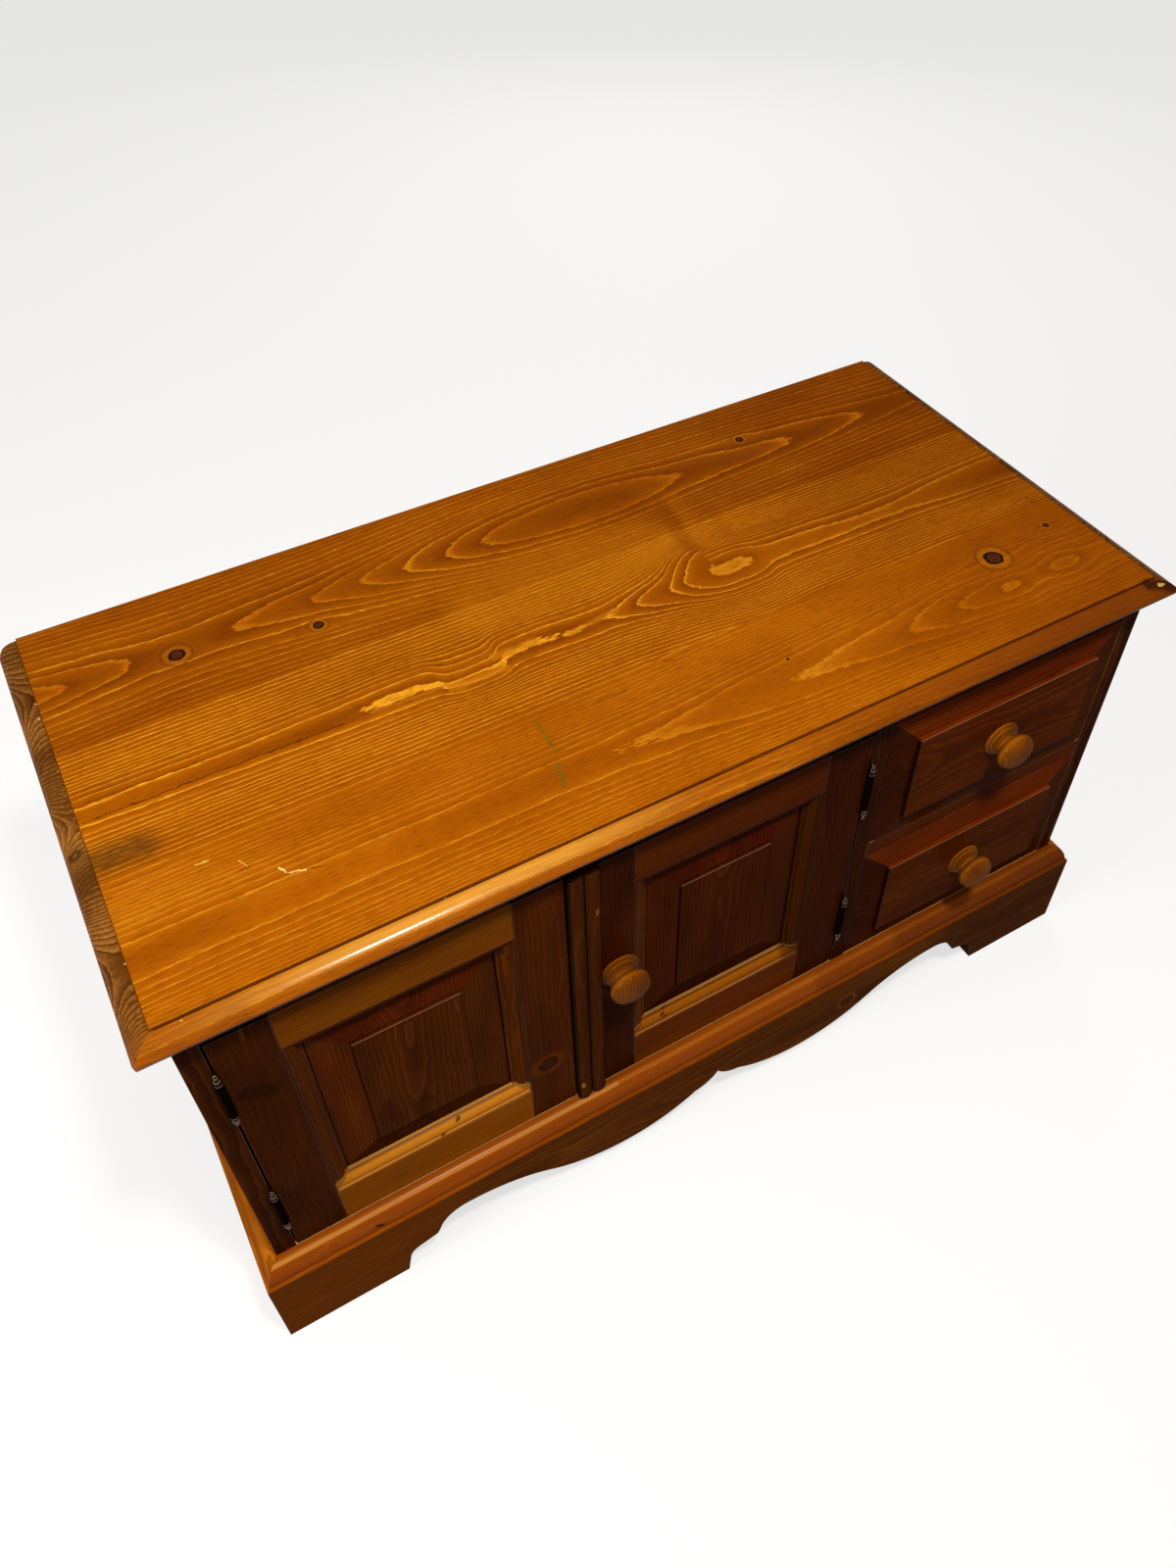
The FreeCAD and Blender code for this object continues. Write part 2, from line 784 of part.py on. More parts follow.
front_foot = foot_outline(plinth_front)
side_outline = [
    (back, floor),
    (back, S.plinth_height),
    (plinth_front, S.plinth_height),
    (plinth_front, floor),
    *front_foot,
    *mirrored(front_foot, (plinth_front + back) / 2),
]
left_plinth = keep(overlap(
    "plinth_left",
    prism("plinth_left_section", "y", plinth_section(-half_width), (plinth_front, back)),
    prism("plinth_left_outline", "x", side_outline, (-plinth_right, -half_width)),
    prism("plinth_left_mitre", "z",
          [(-plinth_right, plinth_front), (-half_width, front), (-half_width, back),
           (-plinth_right, back)],
          (floor, S.plinth_height)),
))
right_plinth = doc.addObject("Part::Mirroring", "plinth_right")
right_plinth.Source = left_plinth
right_plinth.Normal = Vector(1, 0, 0)
keep(right_plinth)

plinth_back_y = (back - S.plinth_thickness, back)
keep(board("plinth_back", (-half_width, half_width), plinth_back_y, (floor, case_low)))
blocks = []
for side, block_x in (("left", (-half_width, S.corner_block_side - half_width)),
                      ("right", (half_width - S.corner_block_side, half_width))):
    for end, block_y in (("front", (front, front + S.corner_block_side)),
                         ("back", (plinth_back_y[0] - S.corner_block_side, plinth_back_y[0]))):
        blocks.append(board(f"{side}_{end}_block", block_x, block_y, (floor, case_low)))
keep(group("plinth_corner_blocks", blocks))

# ---------------------------------------------------------------- knobs


def knob(label, x, surface, z):
    """A turned knob on a surface, bored from behind for its screw."""
    hole = S.knob_screw_radius + S.screw_play
    hole_end = -S.knob_screw_grip - S.screw_play
    outline = [
        (hole, floor),
        (hole, hole_end),
        (floor, hole_end),
        (floor, -S.knob_reach),
        BALL,
        (S.knob_crown_radius, S.knob_crown_drop - S.knob_reach),
        SHALLOW_ROUND,
        (S.knob_radius, -S.knob_widest_rise),
        SHALLOW_ROUND,
        (S.knob_lip_radius, -S.knob_lip_rise),
        (S.knob_neck_radius, -S.knob_head_rise),
        (S.knob_neck_radius, -S.knob_neck_rise),
        -SHALLOW_ROUND,
        (S.knob_ring_radius, -S.knob_ring_rise),
        QUARTER_ROUND,
        (S.knob_quirk_radius, -S.knob_quirk_rise),
        SHALLOW_ROUND,
        (S.knob_radius, -S.knob_rim_rise),
        (S.knob_radius, floor),
    ]
    return place(turned(label, outline), x, surface, z)


def knob_screw(label, x, surface, z, thickness):
    """A round-head screw through wood of this thickness into a knob, and the hole for it."""
    outlines = screw_pair(label, S.knob_screw_radius, S.knob_screw_head_radius,
                          S.knob_screw_head_height,
                          S.knob_screw_head_height + thickness + S.knob_screw_grip)
    head = surface + thickness + S.knob_screw_head_height
    (screw,), (hole,) = screws_and_holes(label, outlines, [(x, head, z)], "-y")
    screw.Label = label
    return screw, hole


# ---------------------------------------------------------------- doors


def panel_section(low, high, margin):
    """A raised panel in section, across the opening from `low` to `high`, in (place, y)."""
    flat, tongue = S.bead_width, S.tongue_length
    rear = front + S.groove_setback + S.groove_width
    rebate, step, field = (front + setback for setback in
                           (S.groove_setback, S.field_setback + S.field_step, S.field_setback))
    face = [(low - tongue, rebate), (low + flat, rebate), (low + margin, step),
            (low + margin, field)]
    centre = (low + high) / 2
    return [(low - tongue, rear), *face, *mirrored(face, centre), (high + tongue, rear)]


def bead_section(edge, inward):
    """A planted moulding in section, in (place, y), inward from the edge of the frame."""
    foot = front + S.groove_setback
    return [
        (edge, foot),
        (edge, front + S.bead_fillet_setback),
        (edge + S.bead_fillet * inward, front + S.bead_fillet_setback),
        (edge + S.bead_fillet * inward, front + S.bead_fillet_setback + S.bead_quirk),
        QUARTER_ROUND,
        (edge + S.bead_round_reach * inward, front + S.bead_round_setback),
        (edge + S.bead_round_reach * inward, front + S.bead_foot_setback),
        (edge + S.bead_width * inward, front + S.bead_foot_setback),
        (edge + S.bead_width * inward, foot),
    ]


def door(side, edges, stiles, hinge_set, hanging_left):
    """A framed door with a raised panel: its own pieces, between two edges."""
    name = f"{side}_door"
    left, right = edges
    low, high = left + stiles[0], right - stiles[1]
    sill, head = door_low + S.door_bottom_rail, door_high - S.door_top_rail
    face_y = (front, front + S.door_thickness)
    groove_y = (front + S.groove_setback, front + S.groove_setback + S.groove_width)
    deep = S.groove_depth

    left_stile, right_stile = (("hanging", "closing") if hanging_left else ("closing", "hanging"))
    left_cuts = [board(f"{name}_left_groove", (low - deep, low), groove_y, (door_low, door_high))]
    right_cuts = [board(f"{name}_right_groove", (high, high + deep), groove_y,
                        (door_low, door_high))]
    (left_cuts if hanging_left else right_cuts).extend(hinge_set.door_holes)
    closing_cuts = right_cuts if hanging_left else left_cuts
    if not hanging_left:
        knob_x = astragal_right + S.knob_radius + S.screw_play
        knob_z = door_low + S.door_knob_lift
        keep(knob(f"{name}_knob", knob_x, front, knob_z))
        screw, hole = knob_screw(f"{name}_knob_screw", knob_x, front, knob_z, S.door_thickness)
        keep(screw)
        closing_cuts.append(hole)
    keep(cut(f"{name}_{left_stile}_stile",
             board(f"{name}_left_board", (left, low), face_y, (door_low, door_high)), *left_cuts))
    keep(cut(f"{name}_{right_stile}_stile",
             board(f"{name}_right_board", (high, right), face_y, (door_low, door_high)),
             *right_cuts))

    for rail, rail_z, tenon_z, groove_z in (
            ("bottom", (door_low, sill), (door_low, sill - deep), (sill - deep, sill)),
            ("top", (head, door_high), (head + deep, door_high), (head, head + deep))):
        blank = board(f"{name}_{rail}_rail_board", (low, high), face_y, rail_z)
        tenon = board(f"{name}_{rail}_tenons", (low - deep, high + deep), groove_y, tenon_z)
        groove = board(f"{name}_{rail}_groove", (low, high), groove_y, groove_z)
        keep(cut(f"{name}_{rail}_rail", joined(f"{name}_{rail}_rail_blank", blank, tenon), groove))

    across = prism(f"{name}_panel_across", "z", panel_section(low, high, S.field_side_margin),
                   (sill - S.tongue_length, head + S.tongue_length))
    upright = prism(f"{name}_panel_upright", "x",
                    swapped(panel_section(sill, head, S.field_end_margin)),
                    (low - S.tongue_length, high + S.tongue_length))
    keep(overlap(f"{name}_panel", across, upright))
    keep(group(f"{name}_mouldings", [moulding(f"{name}_{edge}_moulding", edge, low, sill, high, head)
                                     for edge in ("left", "right", "bottom", "top")]))
    keep(group(f"{name}_hinge_leaves", hinge_set.door_leaves))
    keep(group(f"{name}_hinge_screws", hinge_set.door_screws))


def moulding(label, edge, low, sill, high, head):
    """One side of the mitred frame of mouldings inside a door."""
    wide = S.bead_width
    outer = {"sw": (low, sill), "se": (high, sill), "ne": (high, head), "nw": (low, head)}
    inner = {"sw": (low + wide, sill + wide), "se": (high - wide, sill + wide),
             "ne": (high - wide, head - wide), "nw": (low + wide, head - wide)}
    one, two = {"bottom": ("sw", "se"), "right": ("se", "ne"), "top": ("ne", "nw"),
                "left": ("nw", "sw")}[edge]
    start, inward = {"bottom": (sill, 1), "top": (head, -1), "left": (low, 1),
                     "right": (high, -1)}[edge]
    section = bead_section(start, inward)
    if edge in ("bottom", "top"):
        length = prism(f"{label}_length", "x", swapped(section), (low, high))
    else:
        length = prism(f"{label}_length", "z", section, (sill, head))
    mitres = prism(f"{label}_mitres", "y", [outer[one], outer[two], inner[two], inner[one]],
                   (front, front + S.groove_setback))
    return overlap(label, length, mitres)


door("left", (left_wall + hinge_gap, left_door_closing_edge),
     (S.hanging_stile, S.left_closing_stile), left_hinges, True)
door("right", (right_door_closing_edge, partition_left - hinge_gap),
     (S.right_closing_stile, S.hanging_stile), right_hinges, False)

bead_width = (S.astragal_width - S.astragal_groove) / 2
astragal_edge = front - S.astragal_edge
astragal_half = [
    (astragal_left, front),
    (astragal_left, astragal_edge),
    ASTRAGAL_ROUND,
    (astragal_left + bead_width, astragal_edge),
    (astragal_left + bead_width, front - S.astragal_web),
]
keep(prism("right_door_astragal", "z",
           [*astragal_half, *mirrored(astragal_half, (astragal_left + astragal_right) / 2)],
           (door_low, door_high)))

# Each door closes on a catch under the top rail, and carries a thin strike that meets it.
strike_face = front + S.door_thickness + S.strike_thickness
catches = []
for side, low_x in (("left", left_door_closing_edge - S.catch_inset - S.catch_width),
                    ("right", astragal_right - S.catch_inset)):
    catch_x = (low_x, low_x + S.catch_width)
    catches.append(board(f"{side}_catch", catch_x,
                         (strike_face + S.strike_play, strike_face + S.strike_play + S.catch_depth),
                         (bay_high - S.catch_height, bay_high)))
    keep(board(f"{side}_door_strike", catch_x, (front + S.door_thickness, strike_face),
               (bay_high - S.catch_height, door_high)))
keep(group("door_catches", catches))

# ---------------------------------------------------------------- drawers


def drawer_section(low, high):
    """A drawer front in section, in (place, y): bevelled edges round a raised field."""
    edge = [(low, front), (low + S.drawer_bevel_width, front - S.drawer_bevel_rise),
            (low + S.drawer_bevel_width, front - S.drawer_field_rise)]
    rear = front + S.drawer_front_back
    return [(low, rear), *edge, *mirrored(edge, (low + high) / 2), (high, rear)]


def drawer(level, bay):
    """A drawer in its bay: front, box, knob and screw."""
    name = f"{level}_drawer"
    left, right = partition_right + S.drawer_side_gap, right_wall - S.drawer_side_gap
    low, high = bay[0] + S.drawer_edge_gap, bay[1] - S.drawer_edge_gap
    rear = front + S.drawer_front_back
    box_back = back_inside - S.drawer_back_clearance
    box_low = bay[0] + S.drawer_run_play
    box_high = bay[1] - S.drawer_headroom
    inner_left, inner_right = left + S.drawer_side_thickness, right - S.drawer_side_thickness
    bottom_x = (inner_left - S.drawer_groove_depth, inner_right + S.drawer_groove_depth)
    bottom_y = (rear - S.drawer_groove_depth, box_back)
    bottom_low = box_low + S.drawer_bottom_lift
    bottom_z = (bottom_low, bottom_low + S.drawer_bottom_thickness)
    centre_x, centre_z = (left + right) / 2, (low + high) / 2

    field = front - S.drawer_field_rise
    keep(knob(f"{name}_knob", centre_x, field, centre_z))
    screw, hole = knob_screw(f"{name}_knob_screw", centre_x, field, centre_z,
                             S.drawer_field_rise + S.drawer_front_back)
    keep(screw)
    across = prism(f"{name}_front_across", "z", drawer_section(left, right), (low, high))
    upright = prism(f"{name}_front_upright", "x", swapped(drawer_section(low, high)),
                    (left, right))
    keep(cut(f"{name}_front", overlap(f"{name}_front_blank", across, upright),
             board(f"{name}_front_groove", bottom_x, (bottom_y[0], rear), bottom_z), hole))

    for side, side_x in (("left", (left, inner_left)), ("right", (inner_right, right))):
        keep(cut(f"{name}_{side}_side",
                 board(f"{name}_{side}_board", side_x, (rear, box_back), (box_low, box_high)),
                 board(f"{name}_{side}_groove", bottom_x, (rear, box_back), bottom_z)))
    keep(board(f"{name}_back", (inner_left, inner_right),
               (box_back - S.drawer_side_thickness, box_back),
               (bottom_z[1], box_high - S.drawer_back_drop)))
    keep(board(f"{name}_bottom", bottom_x, bottom_y, bottom_z))


drawer("lower", (bay_low, divider_low))
drawer("upper", (divider_high, bay_high))

# ---------------------------------------------------------------- checks and files

doc.recompute()
for item in doc.Objects:
    faults = [state for state in item.State if state in ("Invalid", "Error")]
    if faults:
        raise RuntimeError(f"{item.Label}: {', '.join(faults)}")
for piece in nodes:
    if piece.Shape.isNull() or not piece.Shape.isValid() or not piece.Shape.Solids:
        raise RuntimeError(f"{piece.Label} has no sound shape")

os.makedirs("parts", exist_ok=True)
for piece in nodes:
    piece.Shape.exportStep(f"parts/{piece.Label}.step")
    print(piece.Label, len(piece.Shape.Solids), round(piece.Shape.Volume / 1000, 2))
print(len(nodes), "pieces written")
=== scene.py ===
"""A low pine cupboard with panelled doors, two drawers and a moulded top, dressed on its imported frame."""

import math

import bpy
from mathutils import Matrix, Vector

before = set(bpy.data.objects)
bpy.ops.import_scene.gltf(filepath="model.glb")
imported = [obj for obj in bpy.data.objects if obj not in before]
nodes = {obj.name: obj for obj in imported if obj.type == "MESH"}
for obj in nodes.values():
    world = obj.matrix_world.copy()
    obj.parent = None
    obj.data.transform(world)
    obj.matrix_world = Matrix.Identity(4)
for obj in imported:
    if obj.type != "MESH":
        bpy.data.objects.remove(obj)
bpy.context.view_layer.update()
scene = bpy.context.scene
scene.view_settings.view_transform = "Standard"

# ---- The viewer ---------------------------------------------------------------------------------
# Somebody standing before the left door, eyes 1.3 m up, who looks down and to the right over the top.
# The lens is a wide one, as a telephone's is.
viewer = bpy.data.objects.new("viewer", bpy.data.cameras.new("viewer"))
tilt, turn = 44.374, -30.02
viewer.location = (-0.4173, -0.7527, 1.3239)
viewer.rotation_euler = (math.radians(tilt), 0.0, math.radians(turn))
viewer.data.sensor_fit = "VERTICAL"
viewer.data.sensor_height = 36.0
viewer.data.lens = 28.52
viewer.data.shift_x = -0.0249
viewer.data.shift_y = -0.0546
viewer.data.clip_start = 0.02
scene.collection.objects.link(viewer)
scene.camera = viewer


# ---- Floor and lights ---------------------------------------------------------------------------
# A pale floor that runs past the picture, a small ceiling lamp before the front, a wide window away
# to the left and a faint one behind, so the top and the left end are bright and the front is dim.
def paint(red, green, blue):
    """A colour given as 0 to 255 a channel, in Blender's linear light."""
    shares = [channel / 255 for channel in (red, green, blue)]
    return (*(s / 12.92 if s <= 10 / 255 else ((s + 0.055) / 1.055) ** 2.4 for s in shares), 1.0)


def set_stops(ramp, stops):
    """Fills a colour ramp with stops, each (place, colour or grey)."""
    while len(ramp.elements) < len(stops):
        ramp.elements.new(1.0)
    for element, (place, colour) in zip(ramp.elements, stops):
        element.position = place
        element.color = colour if isinstance(colour, tuple) else (colour, colour, colour, 1.0)


def set_bend(mapping, points):
    """Leads a curve smoothly through points, each (in, out), in order."""
    line = mapping.curves[0]
    for point, end in zip(line.points, (points[0], points[-1])):
        point.location = end
    for place in points[1:-1]:
        line.points.new(*place)
    for point in line.points:
        point.handle_type = "AUTO_CLAMPED"
    mapping.update()


class Strand:
    """One value running through a finish. Sums and products of strands add the Math nodes."""

    def __init__(self, tree, socket=None):
        self.tree, self.socket = tree, socket

    def node(self, kind, settings=(), inputs=(), output=0):
        """A new node of that kind, its settings made first, then its sockets' values or links."""
        made = self.tree.nodes.new("ShaderNode" + kind)
        for key, value in dict(settings).items():
            if key == "stops":
                set_stops(made.color_ramp, value)
            elif key == "bend":
                set_bend(made.mapping, value)
            else:
                setattr(made, key, value)
        for key, value in dict(inputs).items():
            if isinstance(value, Strand):
                self.tree.links.new(value.socket, made.inputs[key])
            else:
                made.inputs[key].default_value = value
        return Strand(self.tree, made.outputs[output]) if len(made.outputs) else None

    def ramp(self, *stops):
        """What a ramp with those stops, each (place, colour or grey), gives for this value."""
        return self.node("ValToRGB", {"stops": stops}, {0: self})

    def vector(self, operation, other):
        """This place, direction or colour, worked together with another."""
        output = "Value" if operation in ("DOT_PRODUCT", "DISTANCE") else "Vector"
        return self.node("VectorMath", {"operation": operation}, {0: self, 1: other}, output)

    def math(self, operation, *values):
        return self.node("Math", {"operation": operation}, dict(enumerate(values)))

    def __add__(self, other):
        return self.math("ADD", self, other)

    def __sub__(self, other):
        return self.math("SUBTRACT", self, other)

    def __rsub__(self, other):
        return self.math("SUBTRACT", other, self)

    def __mul__(self, other):
        return self.math("MULTIPLY", self, other)

    def __truediv__(self, other):
        return self.math("DIVIDE", self, other)

    def __pow__(self, other):
        return self.math("POWER", self, other)

    __radd__ = __add__
    __rmul__ = __mul__


def mix(factor, under, over):
    """The colour under, covered by the colour over as far as factor says."""
    factor_in, under_in, over_in, colour_out = 0, 6, 7, 2
    colours = {factor_in: factor, under_in: under, over_in: over}
    return factor.node("Mix", {"data_type": "RGBA"}, colours, colour_out)


def begin(name):
    """A new material with nothing in it, and the place on the piece that its finish starts from."""
    material = bpy.data.materials.new(name)
    material.use_nodes = True
    material.node_tree.nodes.clear()
    return material, Strand(material.node_tree).node("TexCoord", output="Object")


half_floor = 14
floor_corners = [(half_floor * x, half_floor * y, 0) for x, y in ((-1, -1), (1, -1), (1, 1), (-1, 1))]
floor_mesh = bpy.data.meshes.new("floor")
floor_mesh.from_pydata(floor_corners, [], [(0, 1, 2, 3)])
floor = bpy.data.objects.new("floor", floor_mesh)
scene.collection.objects.link(floor)

# The floor looks evenly white, but throws less light back on the cupboard than it seems to.
floor_finish, spot = begin("floor_finish")
seen = spot.node("LightPath", output="Is Camera Ray")
for ray in ("Is Glossy Ray", "Is Transmission Ray"):
    seen = seen.math("MAXIMUM", seen, spot.node("LightPath", output=ray))
thrown_back, looked_at = (0.2, 0.19, 0.18, 1), (0.36, 0.36, 0.36, 1)
matt = spot.node("BsdfDiffuse", {}, {"Color": mix(seen, thrown_back, looked_at)})
glow = spot.node("Emission", {}, {"Color": (1, 1, 1, 1), "Strength": seen * 0.7})
surface = spot.node("AddShader", {}, {0: matt, 1: glow})
spot.node("OutputMaterial", {}, {"Surface": surface})
floor_mesh.materials.append(floor_finish)

room = bpy.data.worlds.new("room")
room.use_nodes = True
room.node_tree.nodes.clear()
air = Strand(room.node_tree)
walls = air.node("Background", {}, {"Color": (1.0, 0.97, 0.93, 1), "Strength": 0.2})
air.node("OutputWorld", {}, {"Surface": walls})
scene.world = room


def lamp(name, place, aim, size, watts, colour):
    """A round, evenly bright lamp at place, turned towards aim."""
    light = bpy.data.lights.new(name, "AREA")
    light.shape = "DISK"
    light.size = size
    light.energy = watts
    light.color = colour
    holder = bpy.data.objects.new(name, light)
    holder.location = place
    holder.rotation_euler = (Vector(aim) - Vector(place)).to_track_quat("-Z", "Y").to_euler()
    scene.collection.objects.link(holder)


daylight = (1.0, 0.97, 0.92)
lamp("ceiling", (-0.1, -0.85, 2.25), aim=(0.0, 0.0, 0.4), size=0.22, watts=26.0, colour=(1.0, 0.94, 0.82))
lamp("window", (-1.9, -0.3, 1.5), aim=(0.0, 0.0, 0.4), size=0.9, watts=25.0, colour=daylight)
lamp("back_window", (1.5, 2.4, 1.3), aim=(0.0, 0.0, 0.3), size=1.0, watts=10.0, colour=daylight)

# ---- Case: sides, partition, rail, divider ------------------------------------------------------
# Solid boards of knotty pine, stained red brown and varnished. The sides and the partition stand on
# end with their grain upright; the rail under the top and the divider run across.
millimetres = (1000.0, 1000.0, 1000.0)
ring_width = 3.4
ring_shades = ((0.0, 1.0), (0.06, 0.05), (0.16, 0.12), (0.4, 0.34), (0.68, 0.45), (0.85, 0.9), (0.95, 1.0))
knot_length, knot_spread, knot_pull = 3.5, 1.9, 0.85


def split(vector):
    """The x, y and z of a place or a direction."""
    return {axis: vector.node("SeparateXYZ", {}, {0: vector}, axis.upper()) for axis in "xyz"}


def fade(value, near, far):
    """1 where value is below near, 0 where it is above far, eased between."""
    ends = {"Value": value, "From Min": near, "From Max": far, "To Min": 1.0, "To Max": 0.0}
    return value.node("MapRange", {"interpolation_type": "SMOOTHSTEP"}, ends)


def hill(*offs):
    """1 where every off is 0, sinking smoothly to 0 as any of them grows past 1."""
    squares = sum(off * off for off in offs)
    return squares.math("EXPONENT", 0.0 - squares)


def flecks(grain, long, wide, layer, detail=2.0):
    """Noise inside a board, 0 to 1, in flecks that long and wide. grain holds the way along the grain,
    across it and into the board, and the board's own seed; layer picks one such noise of many."""
    run, across, deep, seed = grain
    cell = run.node("CombineXYZ", {}, {0: run / long, 1: across / wide, 2: deep / wide})
    noise = {"Vector": cell, "W": seed * 7.3 + layer, "Scale": 1.0, "Detail": detail}
    return run.node("TexNoise", {"noise_dimensions": "4D"}, noise)


def sway(grain, long, wide, layer, width, detail=2.0):
    """The same noise, swung about 0 over that width."""
    return (flecks(grain, long, wide, layer, detail) - 0.5) * width


def led_round(knots, run, across, length):
    """across, with the rings led round knots, each (along the grain, across it, size). length, in units
    of a knot's size, is how far off along the grain they start to part."""
    bent = across
    for knot_run, knot_across, size in knots:
        off = across - knot_across
        near = hill((run - knot_run) / (size * length), off / (size * knot_spread))
        bent = bent - off * near * knot_pull
    return bent


def ring_lines(count, seed, stops):
    """How pale the wood is through each growth ring, by stops, and how strongly that ring shows."""
    line = count.math("FRACT", count).ramp(*stops)
    ring = count.math("FLOOR", count) + seed
    return line, count.node("TexWhiteNoise", {"noise_dimensions": "1D"}, {"W": ring})


def stained(tone, tint, middle=0.45):
    """A stain's deepest, usual and palest colour, as tone goes from 0 through middle to 1."""
    deepest, usual, palest = (paint(*shade) for shade in tint)
    return tone.ramp((0.0, deepest), (middle, usual), (1.0, palest))


def knotted(colour, far, tint):
    """colour with a knot on it, far being the distance from its middle in units of its size."""
    halo = fade(far.math("ABSOLUTE", far - 1.45), 0.15, 0.5) * 0.45
    core = fade(far, 0.9, 1.15) * 0.7
    rim = (far / 2.4).ramp((0.0, 0.5), (0.2, 0.15), (0.3, 0.4), (0.38, 0.8), (0.46, 0.0))
    colour = mix(halo, colour, paint(*tint[2]))
    colour = mix(core, colour, paint(*tint[1]))
    return mix(rim, colour, paint(*(channel * 0.45 for channel in tint[0])))


def stroke(place, start, end, width, soft=0.5):
    """1 along a straight mark from start to end, in the units of place."""
    away = place.vector("SUBTRACT", (*start, 0.0))
    run = (end[0] - start[0], end[1] - start[1], 0.0)
    share = away.vector("DOT_PRODUCT", run) / (run[0] ** 2 + run[1] ** 2)
    share = share.math("MINIMUM", share.math("MAXIMUM", share, 0.0), 1.0)
    # SCALE takes share as the number it is; turned into vectors, so many of them overflow one finish.
    nearest = share.node("VectorMath", {"operation": "SCALE"}, {0: run, "Scale": share})
    off = away.vector("DISTANCE", nearest)
    return fade(off, width * (1.0 - soft), width * (1.0 + soft))


def marked(colour, place, marks, where=1.0):
    """colour with marks on it where that is 1, each (start, end, half its width, shade, strength)."""
    for start, end, width, shade, strength in marks:
        colour = mix(stroke(place, start, end, width) * (where * strength), colour, paint(*shade))
    return colour


def lay_on(spot, sockets):
    """Closes the finish with a principled shader, its sockets set or linked as given."""
    spot.node("OutputMaterial", {}, {"Surface": spot.node("BsdfPrincipled", {}, sockets)})


def pine(name, along, face, heart, tint, seed, knots=(), marks=(), wander=6.0, vigour=0.5, ends=0.5,
         rough=0.4, gloss=0.0, shine=0.3, polish=0.02, blur=0.18, front=None, face_grain_and_light=(), glazed=None):
    """A stained pine board, worked out in millimetres. along is the axis of its grain, face the axis
    that its seen face looks along, heart where the trunk's middle lies, across the face and into it.
    Knots and marks are placed along and across the grain. wander is how far the rings stray, vigour
    how strongly they show and ends how much darker the end grain is. shine is the varnish left on the
    edges, polish that on the flats and blur its dullness. front is a tint of painted shade for the faces
    that look to the front, where that differs; the face gains deepen or lift the faces that turn one
    way, each (axis, way, gain), which stands partly for their end grain and partly for painted light and
    shade; above the height glazed the varnish was laid on thicker."""
    material, spot = begin(name)
    part = split(spot.vector("MULTIPLY", millimetres))
    turned = split(spot.node("TexCoord", output="Normal"))
    over = next(axis for axis in "xyz" if axis not in (along, face))
    run, across, deep = part[along], part[over], part[face]
    grain = (run, across, deep, seed)

    off = led_round(knots, run, across, knot_length) - heart[0] + sway(grain, 260.0, 90.0, 1, 2.0 * wander)
    down = deep - heart[1] + sway(grain, 210.0, 120.0, 2, 4.0 * wander)
    count = (off * off + down * down) ** 0.5 / ring_width
    count = count + sway(grain, 40.0, 16.0, 3, 0.9, detail=1.0) + sway(grain, 10.0, 2.5, 4, 0.4)
    line, strong = ring_lines(count, seed, ring_shades)
    fibre, cloud = flecks(grain, 26.0, 0.8, 5, detail=3.0), flecks(grain, 120.0, 28.0, 6)
    sawn = 1.0 - fade(spot.math("ABSOLUTE", turned[along]), 0.06, 0.4)
    rings = (line - 0.4) * (strong * 0.5 + 0.45) * vigour * (1.0 - sawn * 2.2)
    tone = rings + 0.42 + (fibre - 0.5) * 0.45 + (cloud - 0.5) * 0.7 - sawn * (ends * 0.5)

    colour = stained(tone, tint)
    # Faces that look to the front take the front tint, which is painted shade.
    if front:
        colour = mix(fade(turned["y"], -0.8, -0.4), colour, stained(tone, front))
    # Faces turned one way are deepened or lifted: partly their end grain, partly painted light and shade.
    for axis, way, gain in face_grain_and_light:
        slope = 1.0 - fade(turned[axis] * way, 0.05, 0.1)
        colour = mix(slope, colour, colour.vector("MULTIPLY", gain))
    flat = spot.node("CombineXYZ", {}, {0: run, 1: across, 2: 0.0})
    for knot_run, knot_across, size in knots:
        far = flat.vector("DISTANCE", (knot_run, knot_across, 0.0)) / size
        colour = knotted(colour, far + sway(grain, 7.0, 7.0, 7, 0.5, detail=1.0), tint)
    outside = fade(turned[face], 0.2, 0.5)
    colour = marked(colour, flat, marks, outside)

    eased = spot.node("Bevel", {"samples": 4}, {"Radius": 0.0012})
    edge = 1.0 - eased.vector("DOT_PRODUCT", spot.node("NewGeometry", output="True Normal"))
    coat = (1.0 - fade(edge, 0.0, 0.12)) * shine + polish
    if glazed is not None:
        coat = coat + (1.0 - fade(part["z"], glazed - 1.0, glazed + 1.0)) * 0.06
    height = line * 0.25 + fibre * 0.4
    relief = spot.node("Bump", {}, {"Strength": 0.3, "Distance": 0.0003, "Height": height, "Normal": eased})
    lay_on(spot, {
        "Base Color": colour, "Roughness": (cloud - 0.5) * 0.12 + rough, "Specular IOR Level": gloss,
        "Coat Weight": coat, "Coat Roughness": blur, "Normal": relief})
    return material


def cover(material, *names):
    """Gives the finish to those pieces."""
    for name in names:
        for holder in nodes[name].material_slots:
            holder.material = material


